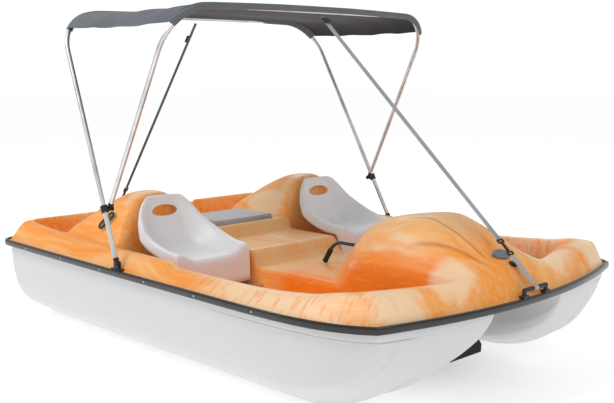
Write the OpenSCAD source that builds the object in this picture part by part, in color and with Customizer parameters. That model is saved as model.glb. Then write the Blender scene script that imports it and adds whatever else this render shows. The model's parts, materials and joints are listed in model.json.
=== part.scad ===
// Catamaran pedal boat with two sliding seats, a paddle wheel, a rudder and a folding canopy.
// Millimetres. +X is the bow, +Y is port, +Z is up. The origin is under the middle, on the keels' level.

/* [Hull and deck] */
// Wall of the hull moulding
hull_t = 4; // [3:0.5:5]
// Wall of the deck moulding
deck_t = 4; // [3:0.5:4.5]
// How far the rub rail stands out of the moulded edge
rail_out = 8; // [6:1:12]
// Height of the rub rail
rail_h = 26; // [22:1:30]

/* [Drive] */
// Diameter of the bent crank rod
crank_d = 19; // [16:1:20]
// Throw of each pedal pin
crank_throw = 88; // [75:1:90]
// Radius of the paddle wheel over its blades
wheel_r = 262; // [220:1:264]
// Number of paddle blades
blade_count = 5; // [4:1:6]
// Width of the paddle wheel
wheel_w = 236; // [180:2:240]
// Length of a pedal along its pin
pedal_w = 96; // [80:1:100]

/* [Canopy] */
// Diameter of the bow tubes
tube_d = 19; // [16:1:21]
// Wall of the bow tubes
tube_t = 1.2; // [1:0.1:2]
// Thickness of the canopy cloth with its lining
cloth_t = 2.5; // [1.5:0.5:4]
// Width of the strap webbing
strap_w = 25; // [20:1:38]

/* [Seats] */
// Wall of a seat shell
seat_t = 4; // [3:0.5:5]

/* [Hidden] */
$fn = 48;

// Moulded edge, where the hull's flange and the deck's flange meet
half_l = 1148;
half_b = 807;
flange_z = 345;
flange_w = 16;
stern_corner_r = 60;

// Heights inside the deck
bench_z = 380;
ledge_z = 245;
floor_z = 130;
centre_z = 318;
well_z = 305;
block_z = 432;

// Nominal distances from the centre line to the deck's walls, at full beam
inner_wall = [250, 254, 258, 262];
outer_wall = [671, 683];
hump_w = 462;
hump_half = 208;

// Paddle drive
crank_x = 700;
crank_z = 280;
crank_turn = 35;
running_gap = 0.06;
pin_a_y = 385;
pin_b_y = 535;
opening_x = [430, 975];
opening_w = 160;

// Steering
lever_x = 318;
rudder_x = -985;
arm_r = 50;
rod_z = 284;
stock_r = 8;

// Seats
seat_y = 456;
seat_rail_w = 182;
seat_rail_x = [-290, 45];

// Cooler
cooler_x = [-610, -380];
cooler_w = 160;

// Canopy frame
hinge_x = -200;
hinge_z = 380;
hinge_y = 797;
knuckle_s = 224;
main_lean = 26.7;
main_s = 1086;
main_top_y = 737;
front_lean = 26.6;
front_s = 864;
front_foot_y = 758;
front_top_y = 729;
corner_r = 190;
tube_r = tube_d / 2;

// ---- shared functions ----

function clamp01(t) = max(0, min(1, t));
function ease(a, b, x) = let (t = clamp01((x - a) / (b - a))) t * t * (3 - 2 * t);
function ramp(a, b, x) = clamp01((x - a) / (b - a));
function mix(a, b, t) = a + (b - a) * t;
function unit(v) = v / norm(v);

// Smooth curve through points [x, value] that never overshoots them
function rise_of(p, i) = (p[i + 1][1] - p[i][1]) / (p[i + 1][0] - p[i][0]);
function tangent(p, i) = (i <= 0 || i >= len(p) - 1) ? 0
    : let (a = rise_of(p, i - 1), b = rise_of(p, i)) a * b <= 0 ? 0 : 2 * a * b / (a + b);
function span_of(p, x, i = 0) = (i >= len(p) - 2 || x < p[i + 1][0]) ? i : span_of(p, x, i + 1);
function curve(p, x) = let (
        i = span_of(p, x),
        h = p[i + 1][0] - p[i][0],
        t = clamp01((x - p[i][0]) / h),
        a = t * t * (2 * t - 3) + 1,
        b = t * (t * (t - 2) + 1),
        c = t * t * (3 - 2 * t),
        d = t * t * (t - 1)
    ) a * p[i][1] + b * h * tangent(p, i) + c * p[i + 1][1] + d * h * tangent(p, i + 1);

// ---- moulded outline ----

// Half the beam at station u, with a rounded bow shoulder and a rounded transom corner
function beam(u) = half_b
    - (u > 300 ? 115 * pow((u - 300) / 848, 4) : 0)
    - (u < 0 ? 15 * pow(u / half_l, 2) : 0)
    - (u < -1090 ? stern_corner_r - sqrt(pow(stern_corner_r, 2) - pow(-1090 - u, 2)) : 0);
// How far the side of a station is swept back, so that the bow's edge bows forward
function sweep(u) = u > 500 ? 110 * pow((u - 500) / 648, 2) : 0;
// A point at station u and nominal distance w from the centre line
function place(u, w, z) = let (v = w / half_b) [u - sweep(u) * v * v, v * beam(u), z];

// ---- shell made of a grid of points ----

function grid_normal(g, i, j) = let (
        m = len(g) - 1,
        n = len(g[0]) - 1
    ) unit(cross(g[min(i + 1, m)][j] - g[max(i - 1, 0)][j], g[i][min(j + 1, n)] - g[i][max(j - 1, 0)]));

// A closed wall. up and down are how far its two skins lie from the grid, holes are cells left out,
// each [first row, last row, first column, last column]
module shell(g, up, down, holes = []) {
    rows = len(g);
    cols = len(g[0]);
    layer = rows * cols;
    function kept(i, j) = i >= 0 && j >= 0 && i < rows - 1 && j < cols - 1
        && len([for (h = holes) if (i >= h[0] && i < h[1] && j >= h[2] && j < h[3]) 1]) == 0;
    function at(i, j) = i * cols + j;
    function quad(a, b, c, d) = [[a, b, c], [a, c, d]];
    points = [
        for (side = [up, -down])
            for (i = [0 : rows - 1])
                for (j = [0 : cols - 1])
                    g[i][j] + side * grid_normal(g, i, j)
    ];
    faces = [
        for (i = [0 : rows - 2])
            for (j = [0 : cols - 2])
                if (kept(i, j))
                    let (a = at(i, j), b = at(i, j + 1), c = at(i + 1, j + 1), d = at(i + 1, j))
                        each concat(
                            quad(a, b, c, d),
                            quad(a + layer, d + layer, c + layer, b + layer),
                            kept(i, j - 1) ? [] : quad(a, d, d + layer, a + layer),
                            kept(i, j + 1) ? [] : quad(c, b, b + layer, c + layer),
                            kept(i - 1, j) ? [] : quad(b, a, a + layer, b + layer),
                            kept(i + 1, j) ? [] : quad(d, c, c + layer, d + layer)
                        )
    ];
    polyhedron(points, faces, convexity = 10);
}

// Both signs of a list of distances from the centre line, from starboard to port
function both_sides(w) = concat([for (i = [len(w) - 1 : -1 : 0]) if (w[i] > 0) -w[i]], w);
function index_of(list, value) = search(value, list)[0];

// ---- deck ----

// Heights along the boat: centre line, floor of the side bays, and over a seat's hump
centre_line = [
    [-1148, 440], [-1075, 440], [-1045, well_z], [-850, well_z], [-700, block_z], [-345, block_z],
    [-325, bench_z], [-50, bench_z], [-10, centre_z], [262, centre_z], [330, 400], [410, 500], [500, 553],
    [620, 580], [750, 594], [830, 570], [910, 533], [975, 490], [1040, 455], [1100, 420], [1148, 400]
];
bay_line = [
    [-1148, 440], [-1075, 440], [-1045, well_z], [-900, well_z], [-760, 425], [-390, 425],
    [-325, ledge_z], [50, ledge_z], [66, floor_z], [850, floor_z], [950, 418], [1040, 434], [1250, 430]
];
hump_line = [
    [-1148, 440], [-1075, 440], [-1045, well_z], [-930, 310], [-830, 440], [-750, 498], [-665, 550],
    [-540, 600], [-455, 612], [-415, 604], [-325, ledge_z], [50, ledge_z], [66, floor_z], [850, floor_z],
    [950, 418], [1040, 434], [1250, 430]
];
coaming_line = [
    [-1148, 440], [-1000, 428], [-700, 412], [0, 408], [60, 390], [450, 392], [750, 410], [950, 436],
    [1050, 440], [1148, 438]
];
function hump_arch(w) = pow(max(0, 1 - pow(abs(w - hump_w) / hump_half, 2.2)), 0.85);
// The console's crown falls away towards its flanks
function shoulder(z, w) = z - max(0, z - 430) * pow(clamp01((w - 40) / 198), 2.2);
// In plan the console's rear face bows aft and the legroom's front end is rounded
function console_u(u, w) = max(min(u, 262), u - 190 * pow(ramp(0, 238, w), 2) * (1 - ramp(560, 760, u)));
function legroom_u(u, w) = u < 300 ? u : u - 45 + 125 * pow(ramp(inner_wall[3], outer_wall[0], w), 1.6);
function bay(u, w) = mix(curve(bay_line, legroom_u(u, w)), curve(hump_line, legroom_u(u, w)), hump_arch(w));
function inside(u, w) = mix(
    shoulder(curve(centre_line, console_u(u, w)), w), bay(u, w), ramp(inner_wall[0], inner_wall[3], w)
);
function rim_rise(d, run) = sin(90 * clamp01((d - flange_w) / run));
function deck_z(u, w) = let (
        z = mix(inside(u, w), curve(coaming_line, u), ramp(outer_wall[0], outer_wall[1], w)),
        foot = flange_z + deck_t
    ) foot + (z - foot) * rim_rise(half_b - w, 84) * rim_rise(half_l - abs(u), u < 0 ? 50 : 84);

deck_w = both_sides([
    0, 14, 60, 110, opening_w, 205, 250, 254, 258, 262, 300, 345, 390, 435, 480, 525, 570, 610, 645,
    671, 683, 705, 728, 752, 775, 791, half_b
]);
deck_u = [
    -half_l, -1132, -1112, -1092, -1075, -1060, -1045, -930, -880, -830, -750, -665, cooler_x[0], -540,
    -455, -415, cooler_x[1], -345, -325, -180, -50, -30, -10, 50, 66, 180, 262, 280, 301, 332, 370, 410,
    455, 500, 560, 620, 680, 720, 785, 815, 850, 883, 916, 950, 985, 1015, 1045, 1075, 1100, 1118, 1132,
    half_l
];
function deck_row(u) = index_of(deck_u, u);
function deck_column(w) = index_of(deck_w, w);

module deck() {
    color("darkorange")
        shell(
            [for (u = deck_u) [for (w = deck_w) place(u, w, deck_z(u, abs(w)))]], 0, deck_t,
            [
                [deck_row(680), deck_row(720), deck_column(-258), deck_column(-254)],
                [deck_row(680), deck_row(720), deck_column(254), deck_column(258)],
                [deck_row(301), deck_row(332), deck_column(-14), deck_column(14)],
                [
                    deck_row(cooler_x[0]), deck_row(cooler_x[1]),
                    deck_column(-opening_w), deck_column(opening_w)
                ]
            ]
        );
}

// ---- hull ----

// Half section of one float and the tunnel: nominal distance from the centre line and height
hull_section = [
    [0, 262], [20, 262], [opening_w, 262], [204, 262], [226, 255], [236, 238], [241, 180], [244, 120],
    [258, 74], [300, 45], [360, 26], [405, 8], [425, 0], [455, 0], [480, 10], [497, 30], [523, 30],
    [540, 10], [565, 0], [600, 0], [650, 26], [700, 56], [740, 94], [764, 142], [778, 205], [786, 325],
    [791, flange_z - hull_t], [half_b, flange_z - hull_t]
];
hull_w = both_sides([for (p = hull_section) p[0]]);
hull_u = [
    -half_l, -1134, -1133, -1130, -1123, -1110, -1092, -1074, -1005, -965, -700, -400, 0,
    opening_x[0], 640, 720, 785, 850, 910, opening_x[1], 1030, 1070, 1100, 1118, 1128, 1133, 1134, half_l
];
// How deep the section is at station u: nothing at the flanges, full over the straight run
function depth(u) = u < 640
    ? pow(1 - pow(1 - clamp01((u + 1134) / 60), 2.5), 0.4)
    : pow(1 - pow(clamp01((u - 640) / 494), 1.9), 0.52);
function hull_z(u, w) = flange_z - hull_t - (flange_z - hull_t - lookup(w, hull_section)) * depth(u);

module hull() {
    rows = [index_of(hull_u, opening_x[0]), index_of(hull_u, opening_x[1])];
    stock_rows = [index_of(hull_u, -1005), index_of(hull_u, -965)];
    color("gainsboro")
        shell(
            [for (u = hull_u) [for (w = hull_w) place(u, w, hull_z(u, abs(w)))]], hull_t, 0,
            [
                [rows[0], rows[1], index_of(hull_w, -opening_w), index_of(hull_w, opening_w)],
                [stock_rows[0], stock_rows[1], index_of(hull_w, -20), index_of(hull_w, 20)]
            ]
        );
}

// ---- rub rail ----

outline = concat(
    [for (u = [-half_l, -1142, -1130, -1115, -1090, -900, -600, -300, 0, 300, 500, 650, 780, 880, 960, 1020,
               1070, 1110, half_l]) place(u, -half_b, 0)],
    [for (v = [-0.9 : 0.1 : 0.91]) place(half_l, v * half_b, 0)],
    [for (u = [half_l, 1110, 1070, 1020, 960, 880, 780, 650, 500, 300, 0, -300, -600, -900, -1090, -1115,
               -1130, -1142, -half_l]) place(u, half_b, 0)],
    [[-half_l, 350, 0], [-half_l, -350, 0]]
);
// Section of the rail: distance out of the moulded edge and height over the joint
rail_gap = 0.4;
rail_room = 2.6;
lip = 5.5;
rail_section = [
    [-lip, rail_h / 2 - 3], [-3, rail_h / 2], [4, rail_h / 2], [rail_out, rail_h / 2 - 6],
    [rail_out, 6 - rail_h / 2], [4, -rail_h / 2], [-3, -rail_h / 2], [-lip, 3 - rail_h / 2],
    [-lip, -hull_t - rail_gap], [rail_room, -hull_t - rail_gap], [rail_room, deck_t + rail_gap],
    [-lip, deck_t + rail_gap]
];
module rub_rail() {
    n = len(outline);
    m = len(rail_section);
    function out_at(i) = let (
            a = unit(outline[i] - outline[(i + n - 1) % n]),
            b = unit(outline[(i + 1) % n] - outline[i]),
            na = [a[1], -a[0], 0],
            nb = [b[1], -b[0], 0]
        ) (na + nb) / (1 + na * nb);
    points = [
        for (i = [0 : n - 1])
            for (s = rail_section)
                outline[i] + s[0] * out_at(i) + [0, 0, flange_z + s[1]]
    ];
    faces = [
        for (i = [0 : n - 1])
            for (k = [0 : m - 1])
                let (
                    a = i * m + k,
                    b = i * m + (k + 1) % m,
                    c = ((i + 1) % n) * m + (k + 1) % m,
                    d = ((i + 1) % n) * m + k
                ) each [[a, b, c], [a, c, d]]
    ];
    color("dimgray") polyhedron(points, faces, convexity = 10);
}

module rail_screws() {
    color("silver")
        for (side = [-1, 1])
            for (x = [-900 : 300 : 600])
                translate([x, side * (beam(x) + rail_out + 0.1), flange_z])
                    rotate([side * -90, 0, 0])
                        cylinder(d = 7, h = 1.6);
}

// ---- inside the floats ----

module float_block(side) {
    color("white")
        for (x = [-950, -330])
            translate([x, side * 510 - 115, 38])
                cube([520, 230, 82]);
}

module drain_plugs() {
    color("black")
        for (side = [-1, 1])
            translate([-1132.6, side * 560, 206])
                rotate([0, -90, 0])
                    cylinder(d = 34, h = 6);
}

// ---- handles and trim on the deck ----

handle_r = 6;
handle_w = 132;
module carry_handle(dir) {
    foot_z = flange_z + rail_h / 2 + 0.3;
    color("black")
        translate([dir * (half_l - 4), 0, foot_z]) {
            for (side = [-1, 1])
                translate([0, side * handle_w / 2, 0]) {
                    translate([-11, -15, 0])
                        cube([18, 30, 6]);
                    translate([-2, 0, 5])
                        cylinder(r = handle_r, h = 19);
                    translate([-2, 0, 24])
                        sphere(r = handle_r);
                }
            translate([-2, -handle_w / 2, 24])
                rotate([-90, 0, 0])
                    cylinder(r = handle_r, h = handle_w);
        }
}

module handle_screws() {
    color("silver")
        for (dir = [-1, 1])
            for (side = [-1, 1])
                translate([dir * (half_l - 6), side * (handle_w / 2 + 11), flange_z + rail_h / 2 + 6.4])
                    cylinder(d = 6, h = 1.5);
}

module vent_plug() {
    color("black")
        translate([1050, 0, deck_z(1050, 0)])
            rotate([0, 30, 0])
                translate([0, 0, 1]) {
                    cylinder(d = 32, h = 3);
                    translate([0, 0, 3])
                        cylinder(d = 18, h = 4);
                }
}

module nose_badge() {
    color("slategray")
        translate([1000, 0, deck_z(1000, 0)])
            rotate([0, 29, 0])
                translate([0, 0, 1.2])
                    linear_extrude(4)
                        intersection() {
                            translate([-48, 0])
                                circle(r = 73);
                            translate([48, 0])
                                circle(r = 73);
                        }
}

// Oval ribbed grip on the outboard flank of a hump, rising forward and inboard
grip_l = 96;
grip_w = 40;
grip_at = [-505, 638];
grip_off = 7;
module oval_grip(side) {
    x = grip_at[0];
    y = grip_at[1];
    step = 12;
    n = unit([
        (deck_z(x - step, y) - deck_z(x + step, y)) / (2 * step),
        side * (deck_z(x, y - step) - deck_z(x, y + step)) / (2 * step), 1
    ]);
    rise = [0.6, -side * 0.5, 0.6];
    e = unit(rise - (rise * n) * n);
    f = cross(n, e);
    color("black")
        multmatrix([
            [e[0], f[0], n[0], x], [e[1], f[1], n[1], side * y], [e[2], f[2], n[2], deck_z(x, y)]
        ])
            translate([0, 0, grip_off]) {
                linear_extrude(5)
                    difference() {
                        grip_outline(0);
                        grip_outline(6);
                    }
                translate([0, 0, 0.01])
                    for (k = [-4 : 4])
                        translate([k * 9 - 1.5, -grip_w / 2 + 5, 0])
                            cube([3, grip_w - 10, 3.5]);
            }
}
module grip_outline(inset) {
    for (s = [-1, 1])
        translate([s * (grip_l - grip_w) / 2, 0])
            circle(r = grip_w / 2 - inset);
    square([grip_l - grip_w, grip_w - 2 * inset], center = true);
}

// ---- cooler ----

tub_z = [308, 438];
lid_z = 439;
module cooler_tub() {
    l = cooler_x[1] - cooler_x[0];
    color("lightgray")
        translate([cooler_x[0], 0, 0]) {
            difference() {
                translate([8, -cooler_w + 8, tub_z[0]])
                    cube([l - 16, 2 * cooler_w - 16, tub_z[1] - tub_z[0]]);
                translate([13, -cooler_w + 13, tub_z[0] + 5])
                    cube([l - 26, 2 * cooler_w - 26, tub_z[1]]);
            }
            difference() {
                translate([-8, -cooler_w - 8, tub_z[1] - 5])
                    cube([l + 16, 2 * cooler_w + 16, 5]);
                translate([10, -cooler_w + 10, tub_z[1] - 10])
                    cube([l - 20, 2 * cooler_w - 20, 20]);
            }
            for (side = [-1, 1])
                translate([-12, side * 60, tub_z[1] - 5])
                    difference() {
                        translate([-5, -8, 0])
                            cube([10, 16, 14]);
                        translate([0, 9, 9])
                            rotate([90, 0, 0])
                                cylinder(r = 2.5 + running_gap, h = 18);
                    }
        }
}

module cooler_lid() {
    l = cooler_x[1] - cooler_x[0];
    color("silver")
        translate([cooler_x[0], 0, 0]) {
            difference() {
                translate([2, -cooler_w - 4, lid_z])
                    cube([l + 2, 2 * cooler_w + 8, 14]);
                translate([16, -cooler_w + 10, lid_z - 5])
                    cube([l - 26, 2 * cooler_w - 20, 14]);
            }
            for (y = [-86, -46, 34, 74])
                translate([-12, y, tub_z[1] + 4])
                    difference() {
                        union() {
                            rotate([-90, 0, 0])
                                cylinder(r = 5, h = 12);
                            translate([0, 0, -3])
                                cube([15, 12, 6]);
                        }
                        translate([0, -1, 0])
                            rotate([-90, 0, 0])
                                cylinder(r = 2.55, h = 14);
                    }
        }
}

module cooler_hinge_pin() {
    color("gray")
        for (side = [-1, 1])
            translate([cooler_x[0] - 12, side * 60 - 28, tub_z[1] + 4])
                rotate([-90, 0, 0])
                    cylinder(r = 2.5, h = 56);
}

// ---- seats ----

// Along the middle of a seat from the back's rolled top to the apron's hem: x, z, half width,
// and how far a side bolster stands forward and up
seat_line = [
    [-388, 590, 60, 0, 0], [-381, 600, 66, 2, 0], [-371, 596, 84, 8, 0], [-364, 562, 122, 20, 0],
    [-350, 512, 150, 36, 6], [-338, 478, 162, 50, 18], [-324, 442, 174, 64, 34], [-303, 408, 180, 84, 48],
    [-268, 388, 182, 90, 52], [-218, 380, 182, 72, 50], [-150, 378, 182, 43, 43], [-92, 381, 182, 20, 37],
    [-52, 383, 182, 4, 34], [-33, 373, 182, 0, 34], [-27, 348, 182, 0, 18], [-25, 264, 182, 0, 0]
];
seat_across = [0, 0.46, 0.58, 0.7, 0.85, 0.95, 1];
seat_hem_z = 262.5;
function bolster(t) = ease(0.45, 0.95, abs(t));
function seat_point(s, t) = [s[0] + s[3] * bolster(t), s[2] * t, s[1] + s[4] * bolster(t)];
// Hem points beyond the bolster: first rolled over, then back towards the hump or down to the rails
function seat_hem(s, side, k) = let (p = seat_point(s, side))
    [
        p[0] - k * (s[1] > 500 ? 10 : 26),
        p[1] + side * (2 + 3 * k),
        max(seat_hem_z, p[2] - k * (s[1] > 500 ? 4 : 45))
    ];
function seat_foot(s, side) = let (p = seat_hem(s, side, 1))
    [p[0] - 2, p[1] + side, s[1] > 500 ? p[2] - 6 : seat_hem_z];
function seat_grid() = [
    for (s = seat_line) concat(
        [seat_foot(s, -1), seat_hem(s, -1, 1), seat_hem(s, -1, 0.3)],
        [for (i = [len(seat_across) - 1 : -1 : 1]) seat_point(s, -seat_across[i])],
        [for (t = seat_across) seat_point(s, t)],
        [seat_hem(s, 1, 0.3), seat_hem(s, 1, 1), seat_foot(s, 1)]
    )
];

module seat(side) {
    middle = 3 + len(seat_across) - 1;
    color("lightgray")
        translate([0, side * seat_y, 0])
            shell(seat_grid(), 0, seat_t, [[3, 4, middle - 1, middle + 1]]);
}

module seat_rails() {
    color("gray")
        for (side = [-1, 1])
            for (w = [-1, 1])
                translate([seat_rail_x[0], side * seat_y + w * seat_rail_w - 7, ledge_z + 0.2])
                    cube([seat_rail_x[1] - seat_rail_x[0], 14, seat_hem_z - ledge_z - 5]);
}

// ---- paddle drive ----

module along_y(x, y, z) {
    translate([x, y, z])
        rotate([-90, 0, 0])
            children();
}
pin_turn = [cos(crank_turn), sin(crank_turn)];
function pin_at(phase) = [crank_x, crank_z] + phase * crank_throw * pin_turn;
web_t = 12;
web_w = 26;
pin_half = 56;
outer_end_y = 638;

// A flat web from the crank's axis at phase a to phase b, each 1, 0 or -1 throws from the axis
module crank_web(y, a, b) {
    translate([crank_x, y, crank_z])
        rotate([0, -crank_turn, 0])
            translate([(a + b) / 2 * crank_throw, 0, 0])
                cube([abs(b - a) * crank_throw + web_w, web_t, web_w], center = true);
}

module crankshaft() {
    r = crank_d / 2;
    web_a = pin_a_y - pin_half - web_t / 2;
    web_b = (pin_a_y + pin_b_y) / 2;
    web_c = pin_b_y + pin_half + web_t / 2;
    color("silver")
        union() {
            along_y(crank_x, -web_a, crank_z)
                cylinder(r = r, h = 2 * web_a);
            for (side = [-1, 1])
                mirror([0, side < 0 ? 1 : 0, 0]) {
                    pin_a = pin_at(-side);
                    pin_b = pin_at(side);
                    crank_web(web_a, 0, -side);
                    along_y(pin_a[0], web_a, pin_a[1])
                        cylinder(r = r, h = web_b - web_a);
                    crank_web(web_b, -side, side);
                    along_y(pin_b[0], web_b, pin_b[1])
                        cylinder(r = r, h = web_c - web_b);
                    crank_web(web_c, side, 0);
                    along_y(crank_x, web_c, crank_z)
                        cylinder(r = r, h = outer_end_y - web_c);
                }
        }
}

bush_r = 17;
module bearing(y0, y1, plate_y, plate_t) {
    difference() {
        union() {
            along_y(crank_x, y0, crank_z)
                cylinder(r = bush_r, h = y1 - y0);
            along_y(crank_x, plate_y, crank_z)
                cylinder(r = 56, h = plate_t);
        }
        along_y(crank_x, y0 - 1, crank_z)
            cylinder(r = crank_d / 2 + running_gap, h = y1 - y0 + 2);
    }
}

module inner_crank_bearings() {
    color("black")
        for (side = [-1, 1])
            mirror([0, side < 0 ? 1 : 0, 0])
                bearing(246, 290, 260, 8);
}

module outer_crank_bearings() {
    color("black")
        for (side = [-1, 1])
            mirror([0, side < 0 ? 1 : 0, 0])
                bearing(612, 654, 646, 8);
}

module bearing_screws() {
    color("silver")
        for (side = [-1, 1])
            for (k = [0 : 3])
                for (y = [268.1, 644.3])
                    mirror([0, side < 0 ? 1 : 0, 0])
                        along_y(crank_x + 44 * cos(45 + 90 * k), y, crank_z + 44 * sin(45 + 90 * k))
                            cylinder(d = 8, h = 1.6);
}

module paddle_wheel() {
    hub_r = 34;
    blade_t = 6;
    cut = 26;
    color("black")
        difference() {
            union() {
                along_y(crank_x, -wheel_w / 2, crank_z)
                    cylinder(r = hub_r, h = wheel_w);
                for (k = [0 : blade_count - 1])
                    translate([crank_x, 0, crank_z])
                        rotate([0, -(-52 + k * 360 / blade_count), 0]) {
                            translate([0, 0, -blade_t / 2])
                                linear_extrude(blade_t)
                                    polygon([
                                        [15, 1 - wheel_w / 2], [wheel_r - cut, 1 - wheel_w / 2],
                                        [wheel_r, 1 - wheel_w / 2 + cut], [wheel_r, wheel_w / 2 - cut - 1],
                                        [wheel_r - cut, wheel_w / 2 - 1], [15, wheel_w / 2 - 1]
                                    ]);
                            for (y = [-60, 0, 60])
                                translate([20, y - 3, -9])
                                    cube([wheel_r - 60, 6, 18]);
                        }
            }
            along_y(crank_x, -wheel_w / 2 - 1, crank_z)
                cylinder(r = crank_d / 2, h = wheel_w + 2);
        }
}

module pedal(side, y, phase) {
    p = pin_at(phase);
    color("black")
        mirror([0, side < 0 ? 1 : 0, 0])
            translate([p[0], y, p[1]])
                rotate([0, 18, 0])
                    difference() {
                        union() {
                            translate([-34, -pedal_w / 2, -13])
                                cube([68, pedal_w, 26]);
                            for (x = [-34, 34])
                                translate([x, -pedal_w / 2, 0])
                                    rotate([-90, 0, 0])
                                        cylinder(r = 13, h = pedal_w);
                            for (x = [-26, -13, 0, 13, 26])
                                translate([x - 2, -pedal_w / 2 + 4, -15])
                                    cube([4, pedal_w - 8, 30]);
                        }
                        translate([0, -pedal_w / 2 - 1, 0])
                            rotate([-90, 0, 0])
                                cylinder(r = crank_d / 2 + running_gap, h = pedal_w + 2);
                    }
}

// ---- steering ----

lever_r = 8;
lever_z = 416;
elbow_r = 17;
droop_r = 80;
droop_turn = 58;
droop_x = 236;
foot_slope = 55;
module steering_bushing() {
    color("black")
        difference() {
            union() {
                translate([lever_x, 0, centre_z - 16])
                    cylinder(r = 11, h = 50);
                translate([lever_x - 2, 0, deck_z(lever_x - 2, 0)])
                    rotate([0, -foot_slope, 0])
                        translate([0, 0, 3])
                            cylinder(r = 33, h = 4);
            }
            translate([lever_x, 0, centre_z - 20])
                cylinder(r = lever_r + running_gap, h = 120);
        }
}

// The shaft rises through the console's foot, turns aft and droops to its grip
module steering_lever() {
    elbow_z = lever_z - elbow_r;
    color("black") {
        translate([lever_x, 0, rod_z - 8])
            cylinder(r = lever_r, h = elbow_z - rod_z + 8);
        translate([lever_x - elbow_r, 0, elbow_z])
            rotate([90, 0, 0])
                rotate_extrude(angle = 90)
                    translate([elbow_r, 0])
                        circle(r = lever_r);
        translate([droop_x, 0, lever_z])
            rotate([0, 90, 0])
                cylinder(r = lever_r, h = lever_x - elbow_r - droop_x);
        translate([droop_x, 0, lever_z - droop_r])
            rotate([90, 0, 0])
                rotate([0, 0, 90])
                    rotate_extrude(angle = droop_turn)
                        translate([droop_r, 0])
                            circle(r = lever_r);
        translate([lever_x - 10, -arm_r, rod_z - 8])
            cube([20, arm_r, 5]);
        translate([lever_x, -arm_r, rod_z - 8])
            cylinder(r = 10, h = 5);
        translate([lever_x, -arm_r, rod_z - 4])
            cylinder(r = 4, h = 14);
    }
}

module lever_grip() {
    color("black")
        translate([
            droop_x - droop_r * sin(droop_turn), 0, lever_z - droop_r + droop_r * cos(droop_turn)
        ])
            rotate([0, 270 - droop_turn, 0]) {
                translate([0, 0, 0.2])
                    cylinder(r = 11, h = 62);
                translate([0, 0, 50])
                    sphere(r = 11);
            }
}

module steering_rod() {
    eye_h = 8;
    l = lever_x - rudder_x;
    color("silver")
        translate([rudder_x, -arm_r, rod_z - 2])
            difference() {
                union() {
                    for (x = [0, l])
                        translate([x, 0, 0])
                            cylinder(r = 9, h = eye_h);
                    translate([7, -4, 0])
                        cube([l - 14, 8, eye_h]);
                }
                translate([l, 0, -1])
                    cylinder(r = 4 + running_gap, h = eye_h + 2);
                translate([0, 0, -1])
                    cylinder(r = 4.6, h = eye_h + 2);
            }
}

module rudder_bushing() {
    color("black")
        translate([rudder_x, 0, 0])
            difference() {
                union() {
                    translate([0, 0, 236])
                        cylinder(r = 15, h = 36);
                    translate([0, 0, 252])
                        cylinder(r = 34, h = 8);
                }
                translate([0, 0, 230])
                    cylinder(r = stock_r + running_gap, h = 50);
            }
}

module rudder_stock() {
    color("silver") {
        translate([rudder_x, 0, 150])
            cylinder(r = stock_r, h = rod_z - 150 - 3);
        translate([rudder_x - 10, -arm_r, rod_z - 8])
            cube([20, arm_r + 10, 5]);
        translate([rudder_x, -arm_r, rod_z - 4])
            cylinder(r = 4, h = 14);
    }
}

module rudder_blade() {
    color("black")
        translate([rudder_x, 0, 0])
            difference() {
                translate([0, 5, 0])
                    rotate([90, 0, 0])
                        linear_extrude(10)
                            polygon([[-105, 60], [-85, 30], [60, 30], [75, 60], [60, 226], [-105, 226]]);
                translate([0, 0, 149])
                    cylinder(r = stock_r, h = 100);
            }
    color("black")
        translate([rudder_x, 0, 150])
            difference() {
                cylinder(r = 13, h = 76);
                translate([0, 0, -1])
                    cylinder(r = stock_r, h = 80);
            }
}

// ---- canopy frame ----

// Places children, drawn upright in the Y-Z plane, on a bow that leans from a pivot
module lean(x, z, angle) {
    translate([x, 0, z])
        rotate([0, angle, 0])
            children();
}

module ring(r, t) {
    difference() {
        circle(r = r);
        circle(r = r - t);
    }
}

// U-shaped tube: feet at half width foot_y and height foot_s, top bar at height s.
// Its straight lengths stop a seam short of the bends.
seam = 0.01;
module bow(foot_y, foot_s, top_y, s) {
    corner_y = top_y - corner_r;
    splay = atan((foot_y - top_y) / (s - corner_r - foot_s));
    leg = (s - corner_r - foot_s + corner_r * sin(splay)) / cos(splay);
    for (side = [0, 1])
        mirror([0, side, 0])
            translate([0, corner_y, s - corner_r]) {
                rotate([90, 0, 90])
                    rotate([0, 0, splay])
                        rotate_extrude(angle = 90 - splay)
                            translate([corner_r, 0])
                                ring(tube_r, tube_t);
                rotate([splay, 0, 0])
                    translate([0, corner_r, -leg])
                        linear_extrude(leg - seam)
                            ring(tube_r, tube_t);
            }
    translate([0, corner_y - seam, s])
        rotate([90, 0, 0])
            linear_extrude(2 * (corner_y - seam))
                ring(tube_r, tube_t);
}

module main_bow() {
    color("silver")
        lean(hinge_x, hinge_z, -main_lean)
            bow(hinge_y - 1, 24, main_top_y, main_s);
}

module front_bow() {
    color("silver")
        lean(knuckle[0], knuckle[2], front_lean)
            bow(front_foot_y, 26, front_top_y, front_s);
}

knuckle = [hinge_x - knuckle_s * sin(main_lean), 0, hinge_z + knuckle_s * cos(main_lean)];

module starboard_deck_hinge() {
    deck_hinge(-1);
}
module port_deck_hinge() {
    deck_hinge(1);
}
module deck_hinge(side) {
    color("black")
        mirror([0, side < 0 ? 1 : 0, 0])
            translate([hinge_x, hinge_y, 0]) {
                translate([-30, -12, flange_z + rail_h / 2 + 0.3])
                    cube([60, 22, 5]);
                for (y = [-11, 7])
                    translate([-9, y, flange_z + rail_h / 2 + 4])
                        cube([18, 4, hinge_z - flange_z - rail_h / 2 + 6]);
                translate([0, -12, hinge_z])
                    rotate([-90, 0, 0])
                        cylinder(r = 3, h = 24);
            }
}

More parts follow.
